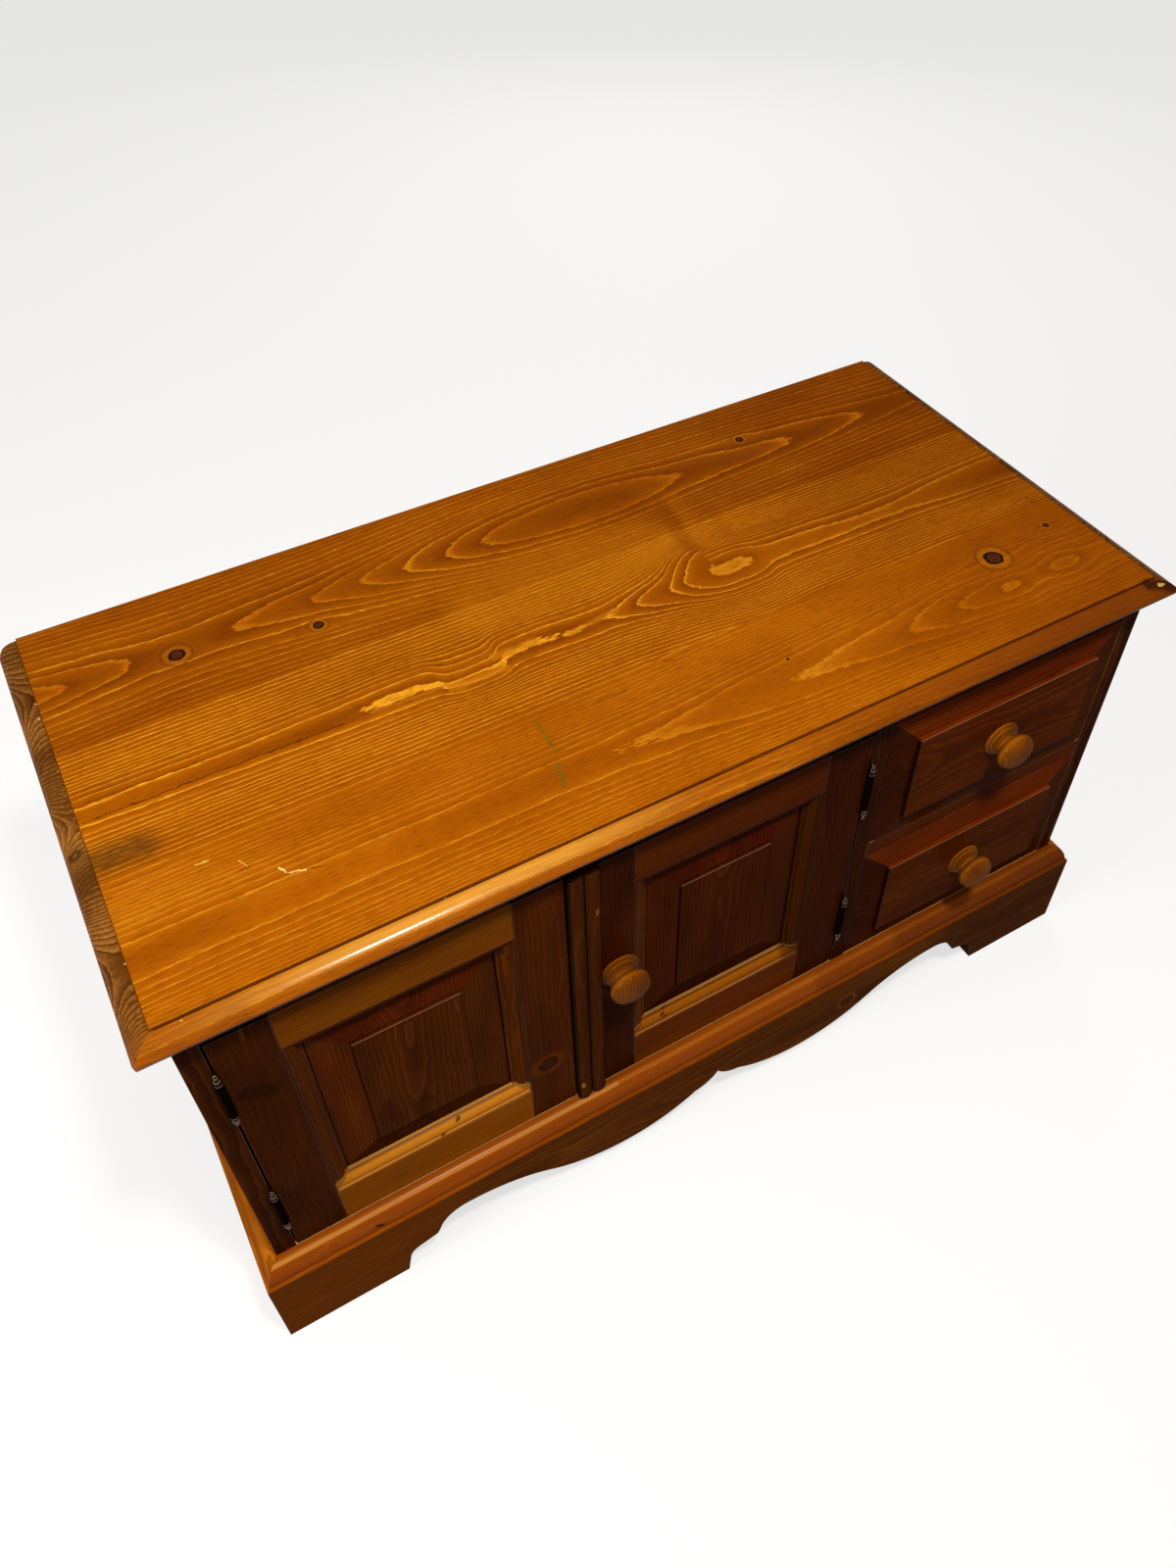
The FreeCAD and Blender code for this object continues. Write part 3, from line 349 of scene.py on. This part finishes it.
# A tint is the stain's deepest, usual and palest colour. lit and dim are the one stain painted in light
# and in shade: lit for the sides, dim as painted shade on their front edges and on the rail under the top.
lit = ((110, 52, 6), (172, 92, 12), (214, 136, 34))
dim = ((38, 14, 2), (70, 28, 3), (104, 50, 8))
cover(pine("left_side_finish", "z", "x", (20.0, -400.0), lit, seed=1.0, vigour=0.7, front=dim,
           knots=((330.0, -120.0, 9.0), (210.0, 90.0, 7.0))), "left_side")
cover(pine("right_side_finish", "z", "x", (40.0, 420.0), lit, seed=2.0, vigour=0.7, front=dim,
           knots=((300.0, 60.0, 10.0),)), "right_side")
cover(pine("partition_finish", "z", "y", (150.0, -190.0), ((32, 11, 2), (60, 23, 2), (92, 42, 6)),
           seed=3.0), "partition")
cover(pine("rail_finish", "x", "y", (480.0, -180.0), dim, seed=4.0), "front_top_rail")
cover(pine("divider_finish", "x", "y", (300.0, -170.0), ((50, 18, 2), (96, 38, 3), (128, 60, 7)),
           seed=5.0), "drawer_divider")


# ---- Top ----------------------------------------------------------------------------------------
# Three pine boards glued edge to edge, a moulding worked round the front and both ends, stained honey
# brown and varnished. The stain sinks into the soft spring wood, so the hard autumn lines stay pale.
def box_of(name):
    """The lowest and the highest corner of that piece, in millimetres."""
    corners = [[1000.0 * length for length in corner] for corner in nodes[name].bound_box]
    return [min(lengths) for lengths in zip(*corners)], [max(lengths) for lengths in zip(*corners)]


# x runs along the grain from the middle, v back from a rule laid 17 mm behind the front edge; past_end
# and past_front are how far a spot lies beyond the flat, into the moulding.
moulding, rule = 19.0, 17.0
(_, front_edge, _), (half_length, _, top_face) = box_of("top_panel")
top_finish, spot = begin("top_finish")
place = split(spot.vector("MULTIPLY", millimetres))
x, v, z = place["x"], place["y"] - (front_edge + rule), place["z"]
grain = (x, v, z, 0.0)
past_end = spot.math("ABSOLUTE", x) - (half_length - moulding)
past_front = (moulding - rule) - v
end_grain = (1.0 - fade(past_end, 0.0, 1.5)) * (1.0 - fade(past_end - past_front, -0.5, 0.5))

# Each knot is (x, v, size).
knots = ((-363.0, 365.0, 7.5), (-238.0, 339.0, 5.0), (267.0, 396.0, 4.5), (370.0, 101.0, 9.5),
         (451.0, 114.0, 3.5), (112.0, 84.0, 2.0))
top_knot_length = 4.0
bent = led_round(knots, x, v, top_knot_length)
# To the left of one place on the middle board the rings are drawn back, 15 mm at the most.
drawn_x, drawn_v = 126.0, 258.0
drawn = hill((x - drawn_x) / 48.0, (v - drawn_v) / 26.0) * spot.math("LESS_THAN", x, drawn_x)
bent = bent - drawn * 15.0
ripple = sway(grain, 90.0, 25.0, 1, 7.0)


def through(value, points):
    """value led through the smooth curve that passes those points, each (in, out)."""
    first, last = points[0][0], points[-1][0]
    low, high = min(out for _, out in points), max(out for _, out in points)
    bend = [((given - first) / (last - first), (out - low) / (high - low)) for given, out in points]
    led = value.node("FloatCurve", {"bend": bend}, {"Value": (value - first) / (last - first)})
    return led * (high - low) + low


def board(heart, depth, rings):
    """Growth rings of one board, counted from its heart line: where the line runs, how deep below the
    face the trunk's middle lies along the board, and the ring count at each distance from it."""
    rest = heart[0][1]
    led = (through(x, heart) - rest) * hill((bent - rest) / 28.0)
    off = bent - rest - led
    down = through(x, depth) + (z - top_face)
    reach = (off * off + down * down) ** 0.5
    return through(reach + ripple * 0.25, rings)


# Where the trunk's middle comes up towards the face, the rings open into long ovals.
rear = board(
    heart=((-510, 374), (-300, 376), (62, 374), (300, 370), (510, 372)),
    depth=((-510, 77.2), (-463, 79.4), (-420, 81.2), (-363, 83.2), (-310, 82.1), (-232, 79.4), (-180, 76.2),
           (-137, 73.2), (-92, 69.0), (-50, 65.0), (0, 62.0), (62, 60.5), (120, 62.0), (174, 65.0),
           (312, 69.0), (420, 73.2), (510, 75.8)),
    rings=((30, -6.0), (50, -2.0), (58, -0.92), (60, -0.85), (65, 0.0), (69, 1.0), (73.2, 2.0), (76.2, 3.0),
           (79.4, 4.0), (82.1, 5.0), (85.6, 6.0), (90.7, 7.0), (94.5, 8.0), (99, 9.0), (104, 10.0),
           (110, 11.5), (125, 15.5)))
middle = board(
    heart=((-510, 216), (-300, 214), (-210, 216), (-175, 213), (-140, 201), (-112, 208), (-90, 217),
           (0, 214), (60, 216), (141, 219), (250, 216), (320, 213), (400, 214), (510, 212)),
    depth=((-510, 51.8), (-440, 51.6), (-380, 51.4), (-330, 51.3), (-300, 50.9), (-250, 50.5), (-210, 50.2),
           (-170, 50.3), (-140, 50.1), (-110, 50.4), (-50, 50.2), (-5, 50.4), (7, 50.0), (34, 48.0),
           (72, 44.0), (88, 40.0), (116, 34.6), (124, 33.7), (141, 33.3), (158, 33.7), (166, 34.6),
           (190, 38.0), (250, 38.7), (320, 39.3), (396, 37.0), (484, 34.8), (510, 34.4)),
    rings=((10, -8.0), (28, -1.7), (34.2, -1.0), (40, 0.0), (44, 1.0), (48, 2.0), (50.5, 3.0), (52.9, 4.0),
           (55.6, 5.0), (58, 6.0), (60.6, 7.0), (62.6, 8.0), (65, 9.0), (67.6, 10.0), (70.7, 11.0),
           (74, 12.0), (78, 13.0), (82, 14.0), (86, 15.0), (100, 18.5)))
front = board(
    heart=((-510, 61), (-200, 63), (-63, 63), (115, 60), (300, 61), (510, 60)),
    depth=((-510, 59.8), (-300, 60.3), (-100, 60.0), (-63, 59.5), (0, 58.4), (62, 55.6), (115, 54.0),
           (200, 51.6), (231, 50.5), (292, 46.5), (330, 44.9), (359, 43.9), (388, 45.0), (421, 43.6),
           (460, 45.4), (510, 46.0)),
    rings=((25, -11.0), (42, -5.8), (44.3, -5.0), (46.5, -4.0), (50.5, -3.0), (54, -2.0), (59.5, -1.0),
           (62.6, 0.0), (65.6, 1.0), (68.5, 2.0), (71.6, 3.0), (76.8, 5.0), (81.4, 7.0), (87, 9.0),
           (94.5, 11.0), (100, 12.0), (112, 15.0)))
front_joint, rear_joint = 144.0, 293.0
is_rear = spot.math("GREATER_THAN", v, rear_joint)
is_front = spot.math("LESS_THAN", v, front_joint)
count = middle + (rear - middle) * is_rear + (front - middle) * is_front
count = count + sway(grain, 9.0, 2.0, 2, 0.36, detail=3.0)
rear_seed, front_seed = 57.0, 91.0
line, strong = ring_lines(count, is_rear * rear_seed + is_front * front_seed, (
    (0.0, 1.0), (0.04, 0.1), (0.12, 0.15), (0.4, 0.3), (0.64, 0.38), (0.82, 0.48), (0.92, 0.85), (0.98, 1.0)))

fibre, cloud = flecks(grain, 30.0, 0.9, 3, detail=3.0), flecks(grain, 160.0, 45.0, 4)
# Darker at the rear board and towards the right: partly the boards' tones, partly painted light falloff.
stain_and_light_falloff = is_front * 0.02 - is_rear * 0.15 - x * 0.0001 - (1.0 - fade(x, 120.0, 420.0)) * 0.1
lively = 1.0 - is_front * (0.62 - fade(x, 20.0, 260.0) * 0.12) - is_rear * 0.25
tone = (line - 0.38) * ((strong * 0.45 + 0.55) * lively) * 1.1 + 0.35
tone = tone + (fibre - 0.5) * 0.5 + (cloud - 0.5) * 0.5 + stain_and_light_falloff
honey = stained(tone, ((122, 56, 1), (172, 90, 3), (236, 160, 34)), middle=0.42)
end_tone = (cloud - 0.5) * 1.2 - line * 1.1 + 0.95 + sway(grain, 3.0, 3.0, 7, 0.6)
end_tint = ((34, 14, 5), (90, 53, 14), (168, 112, 50))
worn = mix(end_grain * 0.9, honey, stained(end_tone, end_tint, middle=0.5))

flat = spot.node("CombineXYZ", {}, {0: x, 1: v, 2: 0.0})
for knot_x, knot_v, size in knots:
    far = flat.vector("DISTANCE", (knot_x, knot_v, 0.0)) / size + sway(grain, 6.0, 6.0, 5, 0.5, detail=1.0)
    halo = (far / 2.5).ramp((0.0, 0.0), (0.4, 0.0), (0.48, 0.2), (0.62, 0.16), (0.8, 0.0))
    rind = fade(spot.math("ABSOLUTE", far - 1.9), 0.08, 0.3) * 0.4
    eye = far.ramp((0.0, paint(96, 48, 26)), (0.3, paint(64, 26, 14)), (0.55, paint(86, 42, 20)),
                   (0.85, paint(28, 9, 5)), (1.0, paint(18, 6, 3)))
    worn = mix(halo, worn, paint(214, 136, 34))
    worn = mix(rind, worn, paint(96, 42, 4))
    worn = mix(fade(far, 0.95, 1.12), worn, eye)

# Marks have ragged edges: each spot is looked up at a place shaken by up to 3 mm either way.
shake = 3.0
ragged = spot.node("TexNoise", {}, {"Vector": spot, "Scale": 160.0, "Detail": 3.0}, "Color")
shaken = flat.node("VectorMath", {"operation": "MULTIPLY_ADD"},
                   {0: ragged, 1: (2.0 * shake, 2.0 * shake, 0.0), 2: flat})
shaken = shaken.vector("SUBTRACT", (shake, shake, 0.0))
pale, bare = (196, 116, 14), (250, 226, 140)
worn = marked(worn, shaken, (
    # long cracks along the grain at the left end
    ((-482, 210), (-262, 209), 0.55, (70, 28, 2), 0.9),
    ((-480, 230), (-385, 228), 0.4, (90, 40, 2), 0.7),
    # pale wood along the middle board's heart line
    ((-115, 219), (-75, 220), 5.0, pale, 0.65),
    ((-165, 201), (-113, 201), 4.0, pale, 0.65),
    ((-42, 212), (11, 220), 3.2, pale, 0.6),
    ((-237, 209), (-168, 207), 1.8, (196, 118, 16), 0.5),
    # wiped stain across the grain
    ((140, 262), (148, 345), 7.0, (196, 112, 12), 0.15),
    ((120, 262), (128, 330), 8.0, (104, 50, 2), 0.3),
    ((166, 262), (173, 320), 6.0, (110, 52, 2), 0.15),
    # greenish smears on the front board
    ((-119, 127), (-121, 88), 2.0, (120, 92, 16), 0.6),
    ((-126, 76), (-132, 53), 2.2, (116, 90, 14), 0.7),
    # scratches down to bare wood, and a dark one beside them
    ((-417, 125), (-407, 124), 0.6, (238, 204, 100), 0.8),
    ((-386, 112), (-382, 104), 0.5, (240, 206, 110), 0.6),
    ((-362, 90), (-357, 83), 0.7, bare, 0.9),
    ((-355, 82), (-344, 78), 0.7, bare, 0.9),
    ((-340, 76), (-330, 75), 0.7, (80, 30, 4), 0.8),
    # fine scratches and dents
    ((-194, 292), (-187, 320), 0.35, (120, 62, 4), 0.8),
    ((-318, 268), (-306, 296), 0.35, (140, 74, 4), 0.6),
    ((-60, 124), (-34, 123), 1.8, (128, 66, 4), 0.5),
    ((14, 138), (24, 133), 0.9, (120, 50, 4), 0.7),
    ((72, 34), (88, 74), 0.4, (150, 92, 12), 0.5),
    # broad darker and paler stretches
    ((310, 218), (440, 214), 38.0, (118, 54, 2), 0.3),
    ((-90, 290), (80, 290), 36.0, (212, 130, 16), 0.22),
    ((-500, -8), (-430, -8), 12.0, (132, 64, 6), 0.4),
    # a dent in the left end's moulding
    ((-497, 184), (-494, 184), 4.5, (52, 26, 6), 0.8),
    ((-496.5, 184), (-494.5, 184), 1.6, (124, 84, 40), 0.7)))
# A blotched dark stain near the left end, and short dark dashes all along the grain.
blotches = flecks(grain, 12.0, 1.6, 8, detail=3.0) * 1.7 - 0.2
worn = mix(stroke(shaken, (-478, 166), (-448, 164), 14.0, soft=0.7) * blotches, worn, paint(88, 54, 14))
dashes = fade(flecks(grain, 14.0, 0.9, 9, detail=3.0), 0.34, 0.47)
worn = mix(dashes * 0.5, worn, paint(92, 40, 2))

# The nose, the front of the moulding, is darker to the right, painted as the light falls off; golden
# on the left, its wear lifted by a painted highlight; and knocked at its right corner.
nose = (1.0 - fade(past_front, 0.0, 1.5)) * (1.0 - end_grain)
worn = mix(nose * (1.0 - fade(x, -160.0, 460.0)) * 0.7, worn, paint(112, 50, 5))
golden_wear_and_highlight = fade(spot.math("ABSOLUTE", x + 250.0), 50.0, 250.0) * fade(spot.math("ABSOLUTE", v + 5.0), 2.0, 9.0)
worn = mix(nose * golden_wear_and_highlight * (0.2 + fibre * 0.7), worn, paint(244, 176, 66))
worn = marked(worn, shaken, (((474, -3), (500, -13), 5.5, (44, 18, 4), 0.85),
                             ((483, -7), (489, -9), 1.1, (226, 176, 96), 0.85)))

# The quirk, the small step where the moulding starts, is darkened as painted shadow. Its edge is
# chipped on the left.
beyond = spot.math("MAXIMUM", past_end, past_front)
quirk_shadow = fade(spot.math("ABSOLUTE", beyond - 0.7), 0.4, 0.95)
worn = mix(quirk_shadow * (0.9 - fade(x, -484.0, -482.0) * 0.5), worn, paint(44, 15, 2))
chipped = fade(1.0 - flecks(grain, 5.0, 5.0, 6), 0.28, 0.32)
chipped = chipped * fade(spot.math("ABSOLUTE", beyond - 1.5), 1.5, 3.0) * fade(x, -340.0, -120.0)
worn = mix(chipped * 0.9, worn, paint(236, 196, 120))

coat = fade(beyond, 0.0, 2.0) * -0.1 + 0.17 + end_grain * 0.05 + nose * fade(x, -140.0, 40.0) * 0.16
eased = spot.node("Bevel", {"samples": 4}, {"Radius": 0.001})
height = line * 0.3 + fibre * 0.6
relief = spot.node("Bump", {}, {"Strength": 0.5, "Distance": 0.0003, "Height": height, "Normal": eased})
lay_on(spot, {
    "Base Color": worn, "Roughness": (cloud - 0.5) * 0.12 + 0.33, "Specular IOR Level": 0.0,
    "Coat Weight": coat, "Coat Roughness": 0.15, "Normal": relief})
cover(top_finish, "top_panel")

# ---- Plinth -------------------------------------------------------------------------------------
# Mitred boards with a moulded top edge, the front and the ends cut to a curve below, stained as the
# case is. The moulded edge is varnished thicker and worn, and a paler band and bright lines along its
# arris are painted light and highlight, giving way to painted shade at the right. The back board is
# stained thinly.
plinth_top = box_of("plinth_front")[1][2]
edge_middle, arris = plinth_top - 10.0, plinth_top - 2.0
cover(pine("plinth_front_finish", "x", "y", (60.0, -150.0), ((62, 27, 2), (114, 57, 4), (152, 86, 12)),
           seed=6.0, shine=0.2, glazed=plinth_top - 15.0, knots=((-433.0, 122.0, 5.0), (176.0, 62.0, 8.0)),
           marks=(((-520, 50), (-330, 50), 60.0, (150, 76, 5), 0.5),
                  ((360, 50), (520, 50), 70.0, (66, 28, 3), 0.5),
                  # The moulded edge: a paler band, painted highlights on its arris, then painted shade to the
                  # right.
                  ((-520, edge_middle), (520, edge_middle), 11.5, (186, 86, 12), 0.55),
                  ((-520, arris), (520, arris), 1.0, (220, 140, 54), 0.25),
                  ((-520, arris), (-120, arris), 1.0, (240, 176, 88), 0.3),
                  ((140, edge_middle), (520, edge_middle), 12.0, (96, 38, 4), 0.3),
                  ((250, edge_middle), (520, edge_middle), 12.0, (90, 34, 4), 0.35),
                  ((-389, 121), (-384, 119), 1.6, (30, 10, 2), 0.9))), "plinth_front")
cover(pine("plinth_end_finish", "y", "x", (70.0, -440.0), ((100, 48, 6), (168, 90, 12), (210, 132, 34)),
           seed=7.0), "plinth_left", "plinth_right")
cover(pine("plinth_back_finish", "x", "y", (60.0, 290.0), ((120, 70, 24), (176, 118, 56), (206, 154, 88)),
           seed=8.0, gloss=0.2, rough=0.55), "plinth_back")

# ---- Doors --------------------------------------------------------------------------------------
# Framed doors: upright stiles, rails tenoned between them, a raised panel and mitred mouldings round it.
# The right one carries the astragal, a double-bead strip planted over the joint of the two doors. Lines
# that run the height of a door are drawn from below it to above it.
below, above = 130, 510
right_stile = ((36, 12, 1), (71, 25, 2), (98, 43, 4))
cover(pine("left_hanging_stile_finish", "z", "y", (-400.0, -150.0), ((40, 16, 2), (78, 33, 2), (112, 56, 6)),
           seed=9.0, vigour=0.25, marks=(((506, -431), (491, -432), 1.5, (140, 84, 20), 0.5),
                                         ((418, -444), (408, -428), 9.0, (28, 10, 1), 0.5))),
      "left_door_hanging_stile")
cover(pine("left_closing_stile_finish", "z", "y", (-150.0, -160.0), ((46, 19, 2), (92, 39, 3), (127, 63, 7)),
           seed=10.0, vigour=0.3, knots=((226.0, -191.0, 10.0),)), "left_door_closing_stile")
cover(pine("right_closing_stile_finish", "z", "y", (-170.0, -150.0), right_stile, seed=11.0, vigour=0.3),
      "right_door_closing_stile")
cover(pine("right_hanging_stile_finish", "z", "y", (90.0, -140.0), right_stile, seed=12.0, vigour=0.3),
      "right_door_hanging_stile")

(strip_left, _, _), (strip_right, _, _) = box_of("right_door_astragal")
# Dark lines in the strip's middle groove and along its two edges are painted shade.
groove_shadows = [((below, groove), (above, groove), 0.8, (14, 5, 1), 0.8)
           for groove in (strip_left + 0.5, (strip_left + strip_right) / 2.0, strip_right - 0.5)]
knocks = [((160, -158), (166, -158), 1.6, (196, 138, 62), 0.8),
          ((446, -137), (452, -137), 1.4, (170, 110, 40), 0.8)]
cover(pine("astragal_finish", "z", "y", (-170.0, -150.0), ((42, 18, 2), (84, 37, 3), (116, 60, 8)),
           seed=27.0, vigour=0.3, marks=groove_shadows + knocks), "right_door_astragal")

# The opening that a door's frame leaves: its left and right side, its foot and its head.
openings = {}
for door in ("left", "right"):
    (left, _, foot), (right, _, head) = box_of(door + "_door_mouldings")
    openings[door] = (left, right, foot, head)
# The rails' tints are lighter than the stiles', partly their wood and partly painted sheen and light.
for rail, door, tint, heart, seed in (
        ("left_door_top_rail", "left", ((90, 43, 3), (142, 75, 6), (172, 103, 16)), 560.0, 13.0),
        ("left_door_bottom_rail", "left", ((106, 53, 4), (162, 87, 7), (192, 117, 18)), 80.0, 14.0),
        ("right_door_top_rail", "right", ((58, 22, 2), (98, 40, 3), (130, 64, 7)), 560.0, 15.0),
        ("right_door_bottom_rail", "right", ((72, 29, 3), (120, 53, 4), (150, 79, 10)), 80.0, 16.0)):
    shoulders = [((end, below), (end, above), 0.7, (24, 8, 2), 0.8) for end in openings[door][:2]]
    cover(pine(rail + "_finish", "x", "y", (heart, -130.0), tint, seed=seed, vigour=0.35,
               marks=shoulders), rail)


def field_highlight_and_shade(left, right, foot, head):
    """Marks on a raised panel in that opening: a painted highlight along the top arris of its field, and
    painted shade down the field's sides, along the step above its top and along the mouldings. Each end
    is (height, place across)."""
    moulding_width, bevel_across, bevel_up, lap = 17.0, 34.0, 31.0, 1.0
    left, right = left + moulding_width, right - moulding_width
    foot, head = foot + moulding_width, head - moulding_width
    field_left, field_right = left + bevel_across, right - bevel_across
    low, high = foot + bevel_up, head - bevel_up
    return [((high - 0.75, field_left), (high - 0.75, field_right), 0.4, (206, 182, 140), 0.7),
            ((low, field_left), (high, field_left), 0.6, (18, 6, 1), 0.7),
            ((low, field_right), (high, field_right), 0.6, (18, 6, 1), 0.7),
            ((high + 1.2, field_left), (high + 1.2, field_right), 0.8, (16, 6, 2), 0.7),
            ((foot - lap, left), (head + lap, left), 1.2, (20, 7, 2), 0.75),
            ((foot - lap, right), (head + lap, right), 1.2, (20, 7, 2), 0.75),
            ((head, left - lap), (head, right + lap), 1.2, (20, 7, 2), 0.6),
            ((foot, left - lap), (foot, right + lap), 1.6, (16, 6, 2), 0.7)]


# Gains for the panels' bevels by the way they face: partly their end grain, partly painted light and shade.
bevel_grain_and_light = (("z", 1.0, (1.05, 0.74, 1.0)), ("x", -1.0, (1.3, 1.22, 1.0)),
            ("x", 1.0, (1.12, 1.12, 1.0)), ("z", -1.0, (0.8, 0.8, 0.8)))
scuffs = [((290, -344), (250, -338), 5.0, (50, 19, 2), 0.4),
          ((276, -314), (262, -306), 4.0, (50, 19, 2), 0.4),
          ((400, -268), (380, -267), 0.8, (140, 84, 26), 0.5)]
cover(pine("left_panel_finish", "z", "y", (-312.0, -178.0), ((48, 19, 2), (90, 39, 3), (124, 64, 8)),
           seed=17.0, wander=7.0, ends=0.1, face_grain_and_light=bevel_grain_and_light, shine=0.0,
           marks=field_highlight_and_shade(*openings["left"]) + scuffs), "left_door_panel")
cover(pine("right_panel_finish", "z", "y", (2.0, -178.0), ((40, 14, 1), (79, 29, 2), (108, 50, 6)),
           seed=18.0, wander=5.0, ends=0.1, face_grain_and_light=bevel_grain_and_light, shine=0.0,
           marks=field_highlight_and_shade(*openings["right"])), "right_door_panel")

# The lower mouldings are worn golden, lifted further as painted light, with a pale fillet low and high,
# worn and painted as highlight, a dark line of painted shade and a few specks; the right door's right
# moulding is darker, and painted shade lies down the outer edges of the upright ones.
moulding_wear_and_painted_light = []
for door, golden_wear_and_highlight in (("left", (228, 142, 36)), ("right", (178, 100, 16))):
    left, right, foot, _ = openings[door]
    for up, width, shade, strength in (
            (8.5, 8.5, golden_wear_and_highlight, 0.85), (1.5, 0.7, (236, 190, 116), 0.6),
            (15.1, 0.8, (240, 200, 130), 0.6), (13.1, 0.7, (70, 30, 6), 0.6)):
        moulding_wear_and_painted_light.append(((foot + up, left - 1.5), (foot + up, right + 1.5), width, shade, strength))
for speck_x, speck_z in ((-288, 201), (-305, 193), (-62, 200), (-58, 204), (-60, 197)):
    moulding_wear_and_painted_light.append(((speck_z, speck_x), (speck_z + 1, speck_x + 3), 1.2, (40, 16, 4), 0.8))
sill, lintel = 186, 460
moulding_wear_and_painted_light.append(((sill, 96), (lintel, 96), 11.0, (58, 24, 2), 0.6))
for left, right, _, _ in openings.values():
    for side in (left + 0.5, right - 0.5):
        moulding_wear_and_painted_light.append(((sill, side), (lintel, side), 0.7, (20, 7, 2), 0.7))
cover(pine("moulding_finish", "z", "y", (-160.0, -150.0), ((52, 22, 2), (100, 46, 4), (136, 74, 10)),
           seed=19.0, shine=0.2, marks=moulding_wear_and_painted_light), "left_door_mouldings", "right_door_mouldings")

# ---- Drawers and the boards out of sight --------------------------------------------------------
# Drawer fronts with a raised field, their grain running across, stained and varnished. The drawer
# boxes, the shelf, the base, the back and the blocks and battens are plain unstained pine.
front_tint = ((50, 18, 2), (98, 40, 3), (130, 64, 8))
# Gains for the drawer fronts' bevels by the way they face: partly their end grain, partly painted light and
# shade.
bevel_grain_and_light = (("z", 1.0, (1.4, 1.1, 1.1)), ("x", -1.0, (0.48, 0.44, 0.6)),
            ("x", 1.0, (0.7, 0.78, 0.5)), ("z", -1.0, (0.75, 0.85, 0.7)))
bevel = 30.0
worn_corners = [((178, 333), (181, 333), 1.2, (224, 180, 120), 0.8),
                ((455, 333), (458, 333), 1.2, (224, 180, 120), 0.8)]
for drawer, heart, seed, corners in (("lower", 215.0, 20.0, []), ("upper", 430.0, 21.0, worn_corners)):
    (left, _, foot), (right, _, head) = box_of(drawer + "_drawer_front")
    field_left, field_right, low, high = left + bevel, right - bevel, foot + bevel, head - bevel
    # A painted highlight runs along the field's top arris and a fainter one along the front's foot; painted
    # shade runs down the field's left side.
    edges = [((field_left, high - 0.7), (field_right, high - 0.7), 0.4, (232, 178, 136), 0.75),
             ((field_left + 0.3, low), (field_left + 0.3, high), 0.6, (18, 6, 2), 0.7),
             ((left + 1.5, foot + 0.5), (right - 2.0, foot + 0.5), 0.5, (150, 92, 60), 0.5)]
    cover(pine(drawer + "_front_finish", "x", "y", (heart, -150.0), front_tint, seed=seed, ends=0.2,
               shine=0.1, face_grain_and_light=bevel_grain_and_light, marks=edges + corners), drawer + "_drawer_front")

raw = ((170, 116, 62), (208, 160, 100), (228, 188, 132))
for name, along, face, heart, seed, boards in (
        ("drawer_side_finish", "y", "x", (220.0, 120.0), 22.0,
         ("lower_drawer_left_side", "lower_drawer_right_side", "upper_drawer_left_side",
          "upper_drawer_right_side", "drawer_runners", "shelf_battens")),
        ("drawer_back_finish", "x", "y", (220.0, 160.0), 23.0,
         ("lower_drawer_back", "upper_drawer_back", "back_top_rail", "drawer_stops")),
        ("drawer_bottom_finish", "x", "z", (20.0, 60.0), 24.0,
         ("lower_drawer_bottom", "upper_drawer_bottom", "base_board", "shelf")),
        ("back_board_finish", "z", "y", (60.0, 300.0), 25.0,
         ("back_boards", "plinth_corner_blocks"))):
    cover(pine(name, along, face, heart, raw, seed=seed, gloss=0.2, rough=0.6, shine=0.0), *boards)

# ---- Knobs --------------------------------------------------------------------------------------
# Turned from one piece of pine each, stained a shade lighter and varnished to a shine, and held from
# behind by one screw.
cover(pine("knob_finish", "y", "x", (330.0, -80.0), ((100, 49, 4), (154, 86, 11), (196, 124, 26)),
           seed=26.0, vigour=0.3, polish=0.08, blur=0.05, shine=0.1),
      "right_door_knob", "lower_drawer_knob", "upper_drawer_knob")


# ---- Hinges, screws and catches -----------------------------------------------------------------
# Butt hinges of dark bronzed brass, their turned finials worn bright; zinc-plated steel screws and
# strikes; brown plastic catches.
def metal(name, colour, rough, metallic=1.0, gloss=0.5):
    """A plain hard finish, its colour and its dullness varied by a fine grain."""
    material, spot = begin(name)
    grain = spot.node("TexNoise", {}, {"Vector": spot, "Scale": 900.0, "Detail": 4.0})
    bright = paint(*colour)
    dark = (*(channel * 0.55 for channel in bright[:3]), 1.0)
    lay_on(spot, {
        "Base Color": mix(grain, bright, dark), "Metallic": metallic, "Roughness": rough + grain * 0.2,
        "Specular IOR Level": gloss})
    return material


# The leaves are near black and matt: their dark bronzing, deepened as painted shade.
cover(metal("bronzed_brass", (20, 13, 8), rough=0.6, metallic=0.0, gloss=0.0),
      "left_door_hinge_leaves", "right_door_hinge_leaves",
      "left_hinge_frame_leaves", "right_hinge_frame_leaves")
cover(metal("worn_brass", (86, 70, 50), rough=0.12), "left_hinge_pins", "right_hinge_pins")
cover(metal("zinc_steel", (190, 188, 182), rough=0.35),
      "left_door_hinge_screws", "right_door_hinge_screws", "frame_hinge_screws", "top_fixing_screws",
      "right_door_knob_screw", "lower_drawer_knob_screw", "upper_drawer_knob_screw",
      "left_door_strike", "right_door_strike")
cover(metal("catch_plastic_finish", (70, 40, 24), rough=0.5, metallic=0.0), "door_catches")
